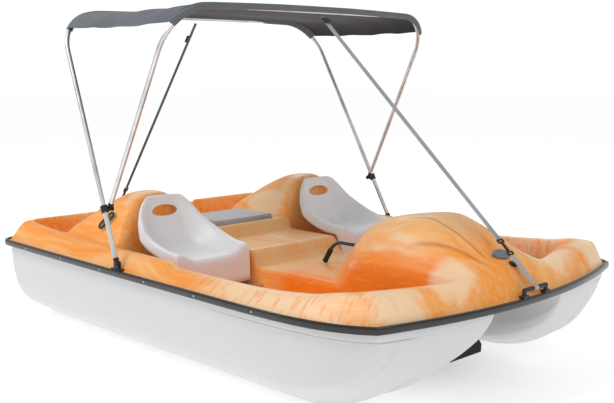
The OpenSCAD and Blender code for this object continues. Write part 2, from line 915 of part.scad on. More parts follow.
module main_bow_ends() {
    color("black")
        lean(hinge_x, hinge_z, -main_lean)
            for (side = [0, 1])
                mirror([0, side, 0])
                    translate([0, hinge_y, 0])
                        difference() {
                            union() {
                                translate([0, -6, 0])
                                    rotate([-90, 0, 0])
                                        cylinder(r = 9, h = 12);
                                translate([-9, -6, 0])
                                    cube([18, 12, 22]);
                                translate([0, -1, 14])
                                    cylinder(r = tube_r + 2, h = 9.2);
                            }
                            translate([0, -10, 0])
                                rotate([-90, 0, 0])
                                    cylinder(r = 3 + running_gap, h = 20);
                        }
}

module knuckle_at(side) {
    y = main_leg_y(knuckle_s);
    color("black")
        lean(hinge_x, hinge_z, -main_lean)
            mirror([0, side < 0 ? 1 : 0, 0])
                translate([0, 0, knuckle_s]) {
                    difference() {
                        union() {
                            translate([0, y, -14])
                                cylinder(r = tube_r + 5.5, h = 28);
                            translate([0, y - 26, 0])
                                rotate([-90, 0, 0])
                                    cylinder(r = 10, h = 20);
                        }
                        translate([0, y, -18])
                            cylinder(r = tube_r + 2.2, h = 36);
                        translate([-12, front_foot_y - 6.5, -12])
                            cube([24, 13, 24]);
                    }
                    translate([0, front_foot_y - 10, 0])
                        rotate([-90, 0, 0])
                            cylinder(r = 3, h = 20);
                    translate([0, front_foot_y - 13, 0])
                        rotate([-90, 0, 0])
                            cylinder(r = 10, h = 5);
                }
}
function main_leg_y(s) = hinge_y - 1 - (s - 24) * (hinge_y - 1 - main_top_y) / (main_s - corner_r - 24);

module front_bow_ends() {
    color("black")
        lean(knuckle[0], knuckle[2], front_lean)
            for (side = [0, 1])
                mirror([0, side, 0])
                    translate([0, front_foot_y, 0])
                        difference() {
                            union() {
                                translate([0, -5.5, 0])
                                    rotate([-90, 0, 0])
                                        cylinder(r = 9, h = 11);
                                translate([-9, -5.5, 0])
                                    cube([18, 11, 18]);
                                translate([0, 0, 17])
                                    cylinder(r = tube_r + 2, h = 8.2);
                            }
                            translate([0, -10, 0])
                                rotate([-90, 0, 0])
                                    cylinder(r = 3 + running_gap, h = 20);
                        }
}

// ---- canopy ----

cloth_gap = 2.5;
hem_turn = 36;
// Half section of the cloth: distance from the centre line and drop below the top bar's crown
cloth_y = main_top_y + tube_r + cloth_gap;
cloth_corner = corner_r + tube_r + cloth_gap;
cloth_section = concat(
    [for (a = [hem_turn : 9 : 81]) [cloth_y - cloth_corner * (1 - cos(a)), -cloth_corner * (1 - sin(a))]],
    [[cloth_y - cloth_corner, 0], [350, 5], [0, 8]]
);
cloth_across = concat(
    [for (p = cloth_section) [-p[0], p[1]]],
    [for (k = [len(cloth_section) - 2 : -1 : 0]) cloth_section[k]]
);
function bow_top(x0, z0, angle, s) = [x0 + s * sin(angle), z0 + s * cos(angle)];
main_top = bow_top(hinge_x, hinge_z, -main_lean, main_s + tube_r + cloth_gap);
front_top = bow_top(knuckle[0], knuckle[2], front_lean, front_s + tube_r + cloth_gap);
// A cloth point: f runs from 0 at the main bow to 1 at the front bow, and a little past each
function cloth_point(f, p) = let (
        foot_a = main_top + p[1] * [-sin(main_lean), cos(main_lean)],
        foot_b = front_top + p[1] * [sin(front_lean), cos(front_lean)],
        sag = 14 * 4 * f * (1 - f),
        q = mix(foot_a, foot_b, f)
    ) [q[0], p[0], q[1] - (f > 0 && f < 1 ? sag : 0)];

module canopy() {
    color("darkslategray")
        shell([for (f = [-0.03, 0, 0.17, 0.33, 0.5, 0.67, 0.83, 1, 1.03])
            [for (p = cloth_across) cloth_point(f, p)]], cloth_t, 0);
}

// ---- straps ----

// Places children, drawn along +X, on the line from a to b
module along(a, b) {
    d = b - a;
    translate(a)
        rotate([0, 0, atan2(d[1], d[0])])
            rotate([0, -atan2(d[2], norm([d[0], d[1]])), 0])
                children();
}
module webbing(a, b, w, t) {
    along(a, b)
        translate([0, -w / 2, -t / 2])
            cube([norm(b - a), w, t]);
}

front_strap_top = [front_top[0] + 26, 0, front_top[1] - 34];
front_strap_end = [half_l - 6, 0, flange_z + rail_h / 2 + 24.3 + handle_r + 3];
front_dir = unit(front_strap_end - front_strap_top);
// How far up the strap its snap hook begins and ends
hook_span = [205, 150];
module front_strap() {
    color("gray")
        webbing(front_strap_top, front_strap_end - front_dir * (hook_span[0] + 0.5), strap_w, 2);
}
module front_strap_buckle() {
    at = front_strap_top + front_dir * 14;
    color("black")
        along(at + [0, 0, 5], at + [0, 0, 5] + front_dir)
            difference() {
                translate([0, -20, -2.5])
                    cube([30, 40, 5]);
                for (x = [6, 18])
                    translate([x, -15, -5])
                        cube([6, 30, 10]);
            }
}
module strap_frame(x) {
    difference() {
        translate([x, -16, -3])
            cube([16, 32, 6]);
        translate([x + 5, -13.5, -5])
            cube([6, 27, 10]);
    }
}
module front_strap_hook() {
    color("black")
        along(front_strap_end - front_dir * hook_span[0], front_strap_end) {
            strap_frame(0);
            translate([15, 0, 0])
                rotate([0, 90, 0])
                    cylinder(r = 5, h = hook_span[0] - hook_span[1] - 15);
        }
}
module bow_tether_ring() {
    color("black")
        along(front_strap_end - front_dir * (hook_span[1] - 0.6), front_strap_end)
            strap_frame(0);
}
module bow_tether() {
    color("gray") {
        webbing(
            front_strap_end - front_dir * (hook_span[1] - 17.5), front_strap_end - front_dir * 6, strap_w, 2.5
        );
        translate([front_strap_end[0], 0, flange_z + rail_h / 2 + 24.3])
            rotate([90, 0, 0])
                translate([0, 0, -strap_w / 2])
                    linear_extrude(strap_w)
                        ring(handle_r + 2.3, 2);
    }
}

rear_strap_top = [main_top[0] - 24, 0, main_top[1] - 30];
eye_z = deck_z(-1082, 178) + 1.5;
rear_strap_low = [-1100, -176, eye_z + 47];
rear_dir = unit(rear_strap_low - rear_strap_top);
module rear_strap() {
    color("dimgray")
        webbing(rear_strap_top, rear_strap_low - rear_dir * 62, strap_w, 2.5);
}
module rear_strap_adjuster() {
    at = rear_strap_top + rear_dir * 70;
    color("black")
        along(at + [0, 0, 4], at + [0, 0, 4] + rear_dir)
            translate([0, -17, 0])
                cube([34, 34, 5]);
}
module rear_strap_hook() {
    color("black")
        along(rear_strap_low - rear_dir * 60, rear_strap_low) {
            translate([0, -15, -4])
                cube([20, 30, 8]);
            translate([19, 0, 0])
                rotate([0, 90, 0])
                    cylinder(r = 6, h = 40);
        }
}
module rear_strap_eye() {
    color("black")
        translate([-1096, -178, eye_z])
            difference() {
                union() {
                    translate([-14, -14, 0])
                        cube([28, 28, 7]);
                    translate([0, 4, 22])
                        rotate([90, 0, 0])
                            cylinder(r = 16, h = 8);
                }
                translate([0, 9, 24])
                    rotate([90, 0, 0])
                        cylinder(r = 9, h = 18);
            }
}

hull();
deck();
rub_rail();
float_block(-1);  // starboard_float_block
float_block(1);  // port_float_block
drain_plugs();
rail_screws();
carry_handle(1);  // bow_handle
carry_handle(-1);  // stern_handle
handle_screws();
vent_plug();
nose_badge();
oval_grip(-1);  // starboard_oval_grip
oval_grip(1);  // port_oval_grip
cooler_tub();
cooler_lid();
cooler_hinge_pin();
seat_rails();
seat(-1);  // starboard_seat
seat(1);  // port_seat
inner_crank_bearings();
outer_crank_bearings();
bearing_screws();
crankshaft();
paddle_wheel();
pedal(-1, pin_a_y, 1);  // starboard_inner_pedal
pedal(-1, pin_b_y, -1);  // starboard_outer_pedal
pedal(1, pin_a_y, -1);  // port_inner_pedal
pedal(1, pin_b_y, 1);  // port_outer_pedal
steering_bushing();
steering_lever();
lever_grip();
steering_rod();
rudder_bushing();
rudder_stock();
rudder_blade();
starboard_deck_hinge();
port_deck_hinge();
main_bow();
main_bow_ends();
knuckle_at(-1);  // starboard_knuckle
knuckle_at(1);  // port_knuckle
front_bow();
front_bow_ends();
canopy();
rear_strap();
rear_strap_adjuster();
rear_strap_hook();
rear_strap_eye();
front_strap();
front_strap_buckle();
front_strap_hook();
bow_tether();
bow_tether_ring();
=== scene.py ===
"""Pedal boat with bucket seats, paddle wheel, rudder and folding canopy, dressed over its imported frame."""

import json
import math

import bmesh
import bpy
from mathutils import Matrix, Vector, noise


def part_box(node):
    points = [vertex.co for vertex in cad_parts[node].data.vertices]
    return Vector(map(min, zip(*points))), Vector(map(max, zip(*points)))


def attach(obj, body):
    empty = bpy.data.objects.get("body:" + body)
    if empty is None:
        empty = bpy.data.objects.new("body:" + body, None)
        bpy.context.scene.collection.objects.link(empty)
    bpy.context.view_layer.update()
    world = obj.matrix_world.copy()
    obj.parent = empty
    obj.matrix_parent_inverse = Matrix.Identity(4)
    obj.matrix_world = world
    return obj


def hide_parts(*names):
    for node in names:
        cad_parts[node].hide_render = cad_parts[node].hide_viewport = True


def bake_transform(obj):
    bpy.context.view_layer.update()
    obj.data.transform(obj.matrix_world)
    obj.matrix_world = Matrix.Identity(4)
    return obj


bl_info = {
    "name": "Pedal Boat",
    "version": (1, 0, 0),
    "blender": (4, 5, 0),
    "location": "View3D > Sidebar > Pedal Boat",
    "description": "Builds a catamaran pedal boat with a folding canopy, piece by piece",
    "category": "Object",
}

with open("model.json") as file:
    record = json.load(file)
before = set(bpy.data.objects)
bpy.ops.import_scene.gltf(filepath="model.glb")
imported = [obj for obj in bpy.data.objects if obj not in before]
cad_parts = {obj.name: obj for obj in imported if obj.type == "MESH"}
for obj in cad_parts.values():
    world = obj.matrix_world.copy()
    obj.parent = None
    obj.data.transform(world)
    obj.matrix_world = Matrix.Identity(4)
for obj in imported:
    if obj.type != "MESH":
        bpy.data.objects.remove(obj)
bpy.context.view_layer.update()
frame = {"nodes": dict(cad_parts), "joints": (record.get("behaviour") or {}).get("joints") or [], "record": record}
BODY_OF = {node: body for body, nodes in frame["record"]["behaviour"]["bodies"].items() for node in nodes}
JOINTS = {joint["name"]: joint for joint in frame["joints"]}
MM = 0.001


# ---- sizes and colours ----


def srgb(r, g, b):
    """A linear colour from 0-255 screen values."""
    return tuple(((c / 255 + 0.055) / 1.055) ** 2.4 if c > 10 else c / 255 / 12.92 for c in (r, g, b))


def length_prop(name, default, description):
    return bpy.props.FloatProperty(name=name, description=description, default=default, min=0, unit="LENGTH")


def colour_prop(name, rgb, description):
    return bpy.props.FloatVectorProperty(
        name=name, description=description, subtype="COLOR", size=3, min=0, max=1, default=srgb(*rgb)
    )


class BoatColours(bpy.types.PropertyGroup):
    """Colours of the boat's mouldings, cloth and trim."""

    hull: colour_prop("Hull", (207, 207, 209), "Moulded floats")
    seat: colour_prop("Seats", (238, 238, 240), "Moulded bucket seats")
    deck: colour_prop("Deck", (255, 160, 62), "Main colour of the marbled deck")
    deck_deep: colour_prop("Deck deep", (255, 132, 2), "Deep colour on the console's flanks")
    deck_pale: colour_prop("Deck pale", (252, 226, 190), "Pale swirls in the deck")
    black: colour_prop("Black plastic", (20, 20, 22), "Moulded black fittings")
    cloth: colour_prop("Canopy", (103, 109, 116), "Woven canopy cloth")
    # painted shade: the canopy's underside is given a darker colour for the shade under the cloth
    cloth_shaded_side: colour_prop("Canopy shaded side", (22, 25, 31), "Darker inner side of the canopy cloth, painted shade")
    webbing: colour_prop("Webbing", (168, 170, 174), "Strap webbing")


class BoatSizes(bpy.types.PropertyGroup):
    """Sizes of details that the frame leaves open."""

    deck_wall: length_prop("Deck wall", 0.003, "Thickness of the deck moulding")
    hull_wall: length_prop("Hull wall", 0.0035, "Thickness of the hull moulding")
    seat_wall: length_prop("Seat wall", 0.004, "Thickness of a seat shell")
    cloth_wall: length_prop("Cloth", 0.0012, "Thickness of the canopy cloth")
    webbing_width: length_prop("Webbing width", 0.025, "Width of the strap webbing")
    webbing_wall: length_prop("Webbing thickness", 0.0018, "Thickness of the strap webbing")
    hem: length_prop("Hem", 0.022, "Width of the canopy's sewn hem")


def colours():
    return bpy.context.scene.boat_colours


def sizes():
    return bpy.context.scene.boat_sizes


# ---- shader building ----


class Graph:
    """Adds nodes to one tree and joins them."""

    def __init__(self, tree):
        self.tree = tree

    def add(self, kind, inputs=None, **settings):
        node = self.tree.nodes.new("ShaderNode" + kind)
        for key, value in settings.items():
            setattr(node, key, value)
        for key, value in (inputs or {}).items():
            self.feed(node.inputs[key], value)
        return node

    def feed(self, socket, value):
        if isinstance(value, bpy.types.NodeSocket):
            self.tree.links.new(value, socket)
        else:
            socket.default_value = value

    def math(self, operation, a, b=0.0):
        node = self.add("Math", operation=operation)
        self.feed(node.inputs[0], a)
        self.feed(node.inputs[1], b)
        return node.outputs[0]

    def band(self, value, a, b, c=0.0, d=1.0):
        """value taken smoothly from a..b to c..d"""
        node = self.add(
            "MapRange",
            {"Value": value, "From Min": a, "From Max": b, "To Min": c, "To Max": d},
            interpolation_type="SMOOTHSTEP",
        )
        return node.outputs[0]

    def mix(self, factor, a, b, blend="MIX"):
        node = self.add("Mix", data_type="RGBA", blend_type=blend)
        for index, value in ((0, factor), (6, a), (7, b)):
            if isinstance(value, (tuple, list)) and len(value) == 3:
                value = (*value, 1)
            self.feed(node.inputs[index], value)
        return node.outputs[2]

    def noise(self, vector, scale, detail=3.0, rough=0.5, distortion=0.0):
        node = self.add(
            "TexNoise",
            {"Vector": vector, "Scale": scale, "Detail": detail, "Roughness": rough, "Distortion": distortion},
        )
        return node.outputs[0]

    def stretch(self, vector, scale, turn=(0, 0, 0)):
        return self.add("Mapping", {"Vector": vector, "Scale": scale, "Rotation": turn}).outputs[0]

    def position(self):
        return self.add("TexCoord").outputs["Object"]

    def axes(self, vector):
        return self.add("SeparateXYZ", {"Vector": vector}).outputs

    def bump(self, height, distance, strength=1.0):
        return self.add("Bump", {"Height": height, "Distance": distance, "Strength": strength}).outputs[0]


def shader_group(name, inputs, outputs, build):
    """A node group with named inputs {name: default} and outputs, made once."""
    tree = bpy.data.node_groups.new(name, "ShaderNodeTree")
    for key, default in inputs.items():
        kind = "NodeSocketVector" if default is None else "NodeSocketFloat"
        socket = tree.interface.new_socket(key, in_out="INPUT", socket_type=kind)
        if default is not None:
            socket.default_value = default
    for key in outputs:
        tree.interface.new_socket(key, in_out="OUTPUT", socket_type="NodeSocketFloat")
    start = tree.nodes.new("NodeGroupInput")
    end = tree.nodes.new("NodeGroupOutput")
    made = build(Graph(tree), start.outputs)
    for key, value in made.items():
        tree.links.new(value, end.inputs[key])
    return tree


def grain_nodes(g, given):
    """Fine pitted grain, slow mottling and thin handling scuffs of a moulding."""
    place = given["Position"]
    fine = g.noise(place, given["Grain Scale"], 4.0, 0.6)
    slow = g.noise(place, 3.2, 2.0, 0.5)
    streaks = g.noise(g.stretch(place, (5, 60, 60), (0.2, 0.1, 0.6)), 6.0, 4.0, 0.7, 0.4)
    scuffs = g.math("MULTIPLY", g.band(streaks, 0.66, 0.72), given["Scuffs"])
    return {"Height": fine, "Mottle": slow, "Scuff": scuffs}


def marble_nodes(g, given):
    """Drawn streaks, fine threads and slow pale clouds of two resins poured together."""
    place = given["Position"]
    warp = g.noise(place, 1.6, 2.0, 0.5)
    lift = g.add("CombineXYZ", {"X": 0.0, "Y": g.math("MULTIPLY", warp, 0.30), "Z": g.math("MULTIPLY", warp, 0.22)})
    moved = g.add("VectorMath", operation="ADD")
    g.feed(moved.inputs[0], place)
    g.feed(moved.inputs[1], lift.outputs[0])
    flow = moved.outputs[0]
    swirl = g.noise(g.stretch(flow, (1.0, 3.4, 3.0), (0, 0, 0.3)), given["Swirl Scale"], 3.0, 0.55, 0.5)
    streak = g.noise(g.stretch(flow, (1.5, 22, 19), (0, 0.08, 0.1)), 2.2, 5.0, 0.62, 0.15)
    thread = g.noise(g.stretch(flow, (3.5, 95, 80), (0, 0.08, 0.14)), 1.6, 3.0, 0.6, 0.1)
    return {"Swirl": swirl, "Streak": streak, "Thread": thread}


def weave_nodes(g, given):
    """Warp and weft threads on a flat coordinate in metres."""
    x, y, _ = g.axes(given["Position"])
    threads = given["Threads"]

    def wave(value, shift):
        turn = g.math("MULTIPLY_ADD", value, threads)
        turn.node.inputs[2].default_value = shift
        return g.math("ABSOLUTE", g.math("SINE", turn))

    warp = wave(x, 0.0)
    weft = wave(y, 0.0)
    over = g.math("GREATER_THAN", g.math("SINE", g.math("MULTIPLY", g.math("ADD", x, y), threads)), 0.0)
    high = g.math("MULTIPLY", warp, over)
    low = g.math("MULTIPLY", weft, g.math("SUBTRACT", 1.0, over))
    slub = g.noise(g.stretch(given["Position"], (30, 400, 1)), 3.0, 2.0, 0.5)
    return {"Height": g.math("ADD", high, low), "Slub": slub}


def drawn_nodes(g, given):
    """Fine lines left by drawing or brushing a metal, and slow tarnish."""
    lines = g.noise(g.stretch(given["Position"], (40, 700, 700)), given["Line Scale"], 3.0, 0.6)
    tarnish = g.noise(given["Position"], 9.0, 4.0, 0.6)
    return {"Lines": lines, "Tarnish": tarnish}


class Finishes:
    """The boat's materials, each made once."""

    def __init__(self):
        self.made = {}
        self.grain = shader_group(
            "Moulded Grain", {"Position": None, "Grain Scale": 900.0, "Scuffs": 0.2},
            ("Height", "Mottle", "Scuff"), grain_nodes,
        )
        self.marble = shader_group(
            "Poured Marble", {"Position": None, "Swirl Scale": 1.5}, ("Swirl", "Streak", "Thread"), marble_nodes
        )
        self.weave = shader_group(
            "Plain Weave", {"Position": None, "Threads": 4000.0}, ("Height", "Slub"), weave_nodes
        )
        self.drawn = shader_group(
            "Drawn Metal", {"Position": None, "Line Scale": 1.0}, ("Lines", "Tarnish"), drawn_nodes
        )

    def start(self, name):
        material = bpy.data.materials.new(name)
        material.use_nodes = True
        shader = material.node_tree.nodes["Principled BSDF"]
        self.made[name] = material
        return material, Graph(material.node_tree), shader

    def group(self, g, tree, **inputs):
        node = g.tree.nodes.new("ShaderNodeGroup")
        node.node_tree = tree
        for key, value in inputs.items():
            g.feed(node.inputs[key.replace("_", " ")], value)
        return node.outputs

    def plastic(self, name, colour, rough=0.35, grain=900.0, depth=0.00015, scuffs=0.2, coat=0.0, dirt=0.06):
        """Moulded plastic with a grain, slow mottling and scuffs."""
        if name in self.made:
            return self.made[name]
        material, g, shader = self.start(name)
        place = g.position()
        made = self.group(g, self.grain, Position=place, Grain_Scale=grain, Scuffs=scuffs)
        dark = tuple(c * (1 - 3 * dirt) for c in colour)
        light = tuple(min(1, c * (1 + dirt) + 0.5 * dirt * (max(colour) < 0.1) * 0.3) for c in colour)
        body = g.mix(g.band(made["Mottle"], 0.35, 0.65), dark, light)
        scuffed = tuple(min(1, c * 1.15 + 0.035) for c in colour)
        g.feed(shader.inputs["Base Color"], g.mix(made["Scuff"], body, scuffed))
        g.feed(shader.inputs["Roughness"], g.band(made["Mottle"], 0.3, 0.7, rough - 0.05, rough + 0.07))
        g.feed(shader.inputs["Normal"], g.bump(made["Height"], depth))
        shader.inputs["Coat Weight"].default_value = coat
        shader.inputs["Coat Roughness"].default_value = 0.12
        return material

    def metal(self, name, colour, rough=0.25, lines=1.0):
        """Bright drawn or brushed metal with slow tarnish."""
        if name in self.made:
            return self.made[name]
        material, g, shader = self.start(name)
        made = self.group(g, self.drawn, Position=g.position(), Line_Scale=lines)
        dull = tuple(c * 0.72 for c in colour)
        g.feed(shader.inputs["Base Color"], g.mix(g.band(made["Tarnish"], 0.35, 0.75), colour, dull))
        g.feed(shader.inputs["Roughness"], g.band(made["Lines"], 0.3, 0.7, rough - 0.06, rough + 0.1))
        g.feed(shader.inputs["Normal"], g.bump(made["Lines"], 0.00004))
        shader.inputs["Metallic"].default_value = 1.0
        return material

    def cloth(self, name, colour, inner=None, threads=4200.0, rough=0.85, sheen=0.25):
        """Plain-woven cloth on the piece's own UV map; its inner side takes a darker colour as painted shade, and the
        weave's dips carry painted shade.
        """
        if name in self.made:
            return self.made[name]
        material, g, shader = self.start(name)
        flat = g.add("UVMap", uv_map="flat").outputs[0]
        made = self.group(g, self.weave, Position=flat, Threads=threads)
        place = g.position()
        fade = g.noise(place, 4.0, 3.0, 0.6)
        dark = tuple(c * 0.8 for c in colour)
        light = tuple(min(1, c * 1.14) for c in colour)
        body = g.mix(g.band(fade, 0.3, 0.7), dark, light)
        body = g.mix(g.math("MULTIPLY", g.band(made["Slub"], 0.5, 0.8), 0.22), body, light)
        # painted shade: the inner side takes the darker inner colour
        if inner:
            side = g.add("Attribute", attribute_name="inner_side").outputs["Fac"]
            body = g.mix(side, body, g.mix(g.band(fade, 0.3, 0.7), tuple(c * 0.8 for c in inner), inner))
        # painted shade in the weave: the colour darkens where the threads dip
        groove_shade = g.math("MULTIPLY", g.math("SUBTRACT", 1.0, made["Height"]), 0.3)
        g.feed(shader.inputs["Base Color"], g.mix(groove_shade, body, tuple(c * 0.45 for c in colour)))
        g.feed(shader.inputs["Roughness"], g.band(fade, 0.2, 0.8, rough - 0.07, rough + 0.07))
        g.feed(shader.inputs["Normal"], g.bump(made["Height"], 0.00018, 0.7))
        shader.inputs["Sheen Weight"].default_value = sheen
        return material

    def deck(self):
        """Marbled deck plastic: drawn streaks and pale swirls, deep on the console's flanks."""
        if "deck_marbled" in self.made:
            return self.made["deck_marbled"]
        palette = colours()
        material, g, shader = self.start("deck_marbled")
        place = g.position()
        x, y, z = g.axes(place)
        off = g.math("ABSOLUTE", y)
        marble = self.group(g, self.marble, Position=place, Swirl_Scale=1.45)
        grain = self.group(g, self.grain, Position=place, Grain_Scale=1100.0, Scuffs=0.1)
        main, deep, pale = tuple(palette.deck), tuple(palette.deck_deep), tuple(palette.deck_pale)
        soft = srgb(255, 196, 128)
        tan = srgb(232, 194, 144)
        # shade: the brown used for the painted shade along the folds down the nose
        shade = srgb(120, 84, 58)

        def spot(cx, cy, rx, ry, hard=0.5):
            """A ragged pale patch round one place of the deck, the same on both sides"""
            across = g.math("DIVIDE", g.math("SUBTRACT", x, cx), rx)
            aside = g.math("DIVIDE", g.math("SUBTRACT", off, cy), ry)
            far = g.math("ADD", g.math("MULTIPLY", across, across), g.math("MULTIPLY", aside, aside))
            ragged = g.math("ADD", far, g.band(marble["Swirl"], 0.3, 0.7, 0.5, -0.5))
            return g.band(ragged, 1.0 + hard, 1.0 - hard)

        def line(cy, slope, start, stop, half):
            """A thin line of painted shade along a moulded fold that runs fore and aft"""
            course = g.math("ADD", g.math("MULTIPLY", x, slope), cy)
            away = g.math("ABSOLUTE", g.math("SUBTRACT", off, course))
            seen = g.math("MULTIPLY", g.band(away, half, 0.0), g.band(x, start, start + 0.08))
            return g.math("MULTIPLY", seen, g.band(x, stop, stop - 0.08))

        # slow change from the main colour to a softer one, with drawn streaks inside it
        body = g.mix(g.band(marble["Swirl"], 0.36, 0.66), main, soft)
        body = g.mix(g.math("MULTIPLY", g.band(marble["Streak"], 0.46, 0.66), 0.5), body, soft)
        body = g.mix(g.math("MULTIPLY", g.band(marble["Streak"], 0.46, 0.30), 0.4), body, deep)
        # tan centre passage and bench
        bench = g.math("MULTIPLY", g.band(off, 0.255, 0.235), g.band(x, 0.26, 0.14))
        bench = g.math("MULTIPLY", bench, g.band(x, -0.8, -0.6))
        body = g.mix(g.math("MULTIPLY", bench, g.band(marble["Streak"], 0.35, 0.65, 0.35, 0.8)), body, tan)
        # deep wells, console flanks and the slope before the wells, clear of the crest and of the bow
        low = g.band(z, 0.57, 0.40)
        inboard = g.math("MULTIPLY", g.band(off, 0.66, 0.60), g.band(off, 0.10, 0.25))
        forward = g.math("MULTIPLY", g.band(x, 0.06, 0.2), g.band(x, 1.0, 0.86))
        flank = g.math("MULTIPLY", g.math("MULTIPLY", low, inboard), forward)
        body = g.mix(g.math("MULTIPLY", flank, 0.9), body, deep)
        # pale crest, rim and patches
        crest = g.math("MULTIPLY", g.band(off, 0.19, 0.04), g.band(x, 0.36, 0.52))
        crest = g.math("MULTIPLY", crest, g.band(x, 0.98, 0.8))
        body = g.mix(g.math("MULTIPLY", crest, g.band(marble["Streak"], 0.3, 0.6, 0.45, 0.85)), body, tan)
        rim = g.math("MULTIPLY", g.band(off, 0.655, 0.69), g.band(x, 0.15, 0.45))
        rim = g.math("MULTIPLY", rim, g.band(marble["Swirl"], 0.34, 0.52, 0.45, 1.0))
        cloud = g.math("MAXIMUM", g.band(marble["Swirl"], 0.60, 0.72), g.math("MULTIPLY", rim, 0.85))
        for mask in (
            spot(0.26, 0.34, 0.13, 0.07), spot(0.98, 0.30, 0.10, 0.16), spot(-0.55, 0.27, 0.12, 0.05),
            spot(1.02, 0.60, 0.10, 0.12), spot(-0.46, 0.46, 0.05, 0.12, 0.8),
        ):
            cloud = g.math("MAXIMUM", cloud, g.math("MULTIPLY", mask, 0.9))
        body = g.mix(g.math("MULTIPLY", cloud, 0.85), body, pale)
        # short streaks across the forward rim
        bars = g.noise(g.stretch(place, (46, 5, 9), (0, 0, 0.25)), 1.6, 3.0, 0.6)
        bars = g.math("MULTIPLY", g.band(bars, 0.5, 0.66), g.band(off, 0.63, 0.68))
        bars = g.math("MULTIPLY", bars, g.band(x, 0.05, 0.3, 0.25, 1.0))
        body = g.mix(g.math("MULTIPLY", bars, 0.5), body, deep)
        # fine threads over everything, light and dark
        body = g.mix(g.math("MULTIPLY", g.band(marble["Thread"], 0.55, 0.72), 0.22), body, pale)
        body = g.mix(g.math("MULTIPLY", g.band(marble["Thread"], 0.45, 0.30), 0.20), body, deep)
        # painted shade: dark brown lines along the folds down the nose
        nose_crease_shade = g.math("MAXIMUM", line(0.085, 0.0, 0.62, 1.04, 0.009), line(0.40, -0.28, 0.72, 1.06, 0.012))
        body = g.mix(g.math("MULTIPLY", nose_crease_shade, 0.42), body, shade)
        g.feed(shader.inputs["Base Color"], body)
        g.feed(shader.inputs["Roughness"], g.band(grain["Mottle"], 0.3, 0.7, 0.34, 0.44))
        g.feed(shader.inputs["Normal"], g.bump(grain["Height"], 0.00012))
        shader.inputs["Coat Weight"].default_value = 0.08
        shader.inputs["Coat Roughness"].default_value = 0.2
        shader.inputs["Specular IOR Level"].default_value = 0.24
        return material

    def hull(self):
        """White moulding with a soft band of painted shade under the bow's lip."""
        if "hull_white" in self.made:
            return self.made["hull_white"]
        material = self.plastic("hull_white", tuple(colours().hull), 0.4, 700.0, 0.00015, 0.04, 0.1, 0.006)
        g = Graph(material.node_tree)
        shader = material.node_tree.nodes["Principled BSDF"]
        body = shader.inputs["Base Color"].links[0].from_socket
        x, y, z = g.axes(g.position())
        # painted shade: a thin dark band just under the lip, along the forward flanks
        away = g.math("ABSOLUTE", g.math("SUBTRACT", z, 0.301))
        lip_crease_shade = g.math("MULTIPLY", g.band(away, 0.0045, 0.0), g.band(x, 0.25, 0.6))
        lip_crease_shade = g.math("MULTIPLY", lip_crease_shade, g.band(g.math("ABSOLUTE", y), 0.5, 0.6))
        g.feed(shader.inputs["Base Color"], g.mix(g.math("MULTIPLY", lip_crease_shade, 0.55), body, srgb(96, 98, 102)))
        return material

    def seat(self):
        return self.plastic("seat_grey", tuple(colours().seat), 0.42, 1300.0, 0.00012, 0.03, 0.05, 0.008)

    def black(self):
        return self.plastic("black_moulded", tuple(colours().black), 0.42, 1500.0, 0.0002, 0.3)

    def rail(self):
        return self.plastic("rail_extruded", srgb(17, 18, 20), 0.26, 500.0, 0.00008, 0.3, 0.25)

    def steel(self):
        return self.metal("stainless", (0.62, 0.62, 0.63), 0.28)

    def bright(self):
        return self.metal("anodised_tube", (0.74, 0.75, 0.76), 0.36, 0.6)


FINISH = {}


def finish():
    if "all" not in FINISH:
        FINISH["all"] = Finishes()
    return FINISH["all"]


# ---- mesh building ----


def new_piece(name, bm, material, body, nodes=(), smooth=40):
    """Turns a bmesh into a piece that rides on a body and stands for CAD nodes."""
    mesh = bpy.data.meshes.new(name)
    bm.to_mesh(mesh)
    bm.free()
    mesh.materials.append(material)
    mesh.shade_smooth()
    if smooth < 180:
        mesh.set_sharp_from_angle(angle=math.radians(smooth))
    piece = bpy.data.objects.new(name, mesh)
    bpy.context.scene.collection.objects.link(piece)
    if body:
        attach(piece, body)
    if nodes:
        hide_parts(*nodes)
    return piece


def refined(node, material, bevel=0.0008, segments=2, smooth=35, name=None, grow=0.0):
    """A carried-over CAD node with merged faces, softened edges and its own finish."""
    bm = bmesh.new()
    bm.from_mesh(frame["nodes"][node].data)
    bmesh.ops.remove_doubles(bm, verts=bm.verts, dist=1e-5)
    bmesh.ops.dissolve_limit(bm, angle_limit=math.radians(1.2), verts=bm.verts, edges=bm.edges)
    if grow:
        bm.normal_update()
        for v in bm.verts:
            v.co += v.normal * grow
    piece = new_piece(name or node + "_finished", bm, material, BODY_OF[node], [node], smooth=smooth)
    if bevel:
        soften = piece.modifiers.new("softened edges", "BEVEL")
        soften.width = bevel
        soften.segments = segments
        soften.profile = 0.5
        soften.limit_method = "ANGLE"
        soften.angle_limit = math.radians(32)
        soften.use_clamp_overlap = True
    return piece


def thicken(piece, wall, offset=-1.0):
    solid = piece.modifiers.new("wall", "SOLIDIFY")
    solid.thickness = wall
    solid.offset = offset
    solid.use_even_offset = False
    return solid


def sheet_mesh(us, vs, point, flat=None):
    """A grid of len(us) x len(vs) points, each put at point(u, v), with an optional flat UV map."""
    bm = bmesh.new()
    bmesh.ops.create_grid(bm, x_segments=len(us) - 1, y_segments=len(vs) - 1, size=1)
    keys = {}
    for v in bm.verts:
        i = round((v.co.x + 1) / 2 * (len(us) - 1))
        j = round((v.co.y + 1) / 2 * (len(vs) - 1))
        keys[v] = (i, j)
    if len(set(keys.values())) != len(us) * len(vs):
        raise RuntimeError("the grid came out with another number of points than was asked for")
    for v, (i, j) in keys.items():
        v.co = point(us[i], vs[j])
    if flat:
        layer = bm.loops.layers.uv.new("flat")
        for face in bm.faces:
            for loop in face.loops:
                i, j = keys[loop.vert]
                loop[layer].uv = flat(us[i], vs[j])
    return bm, keys


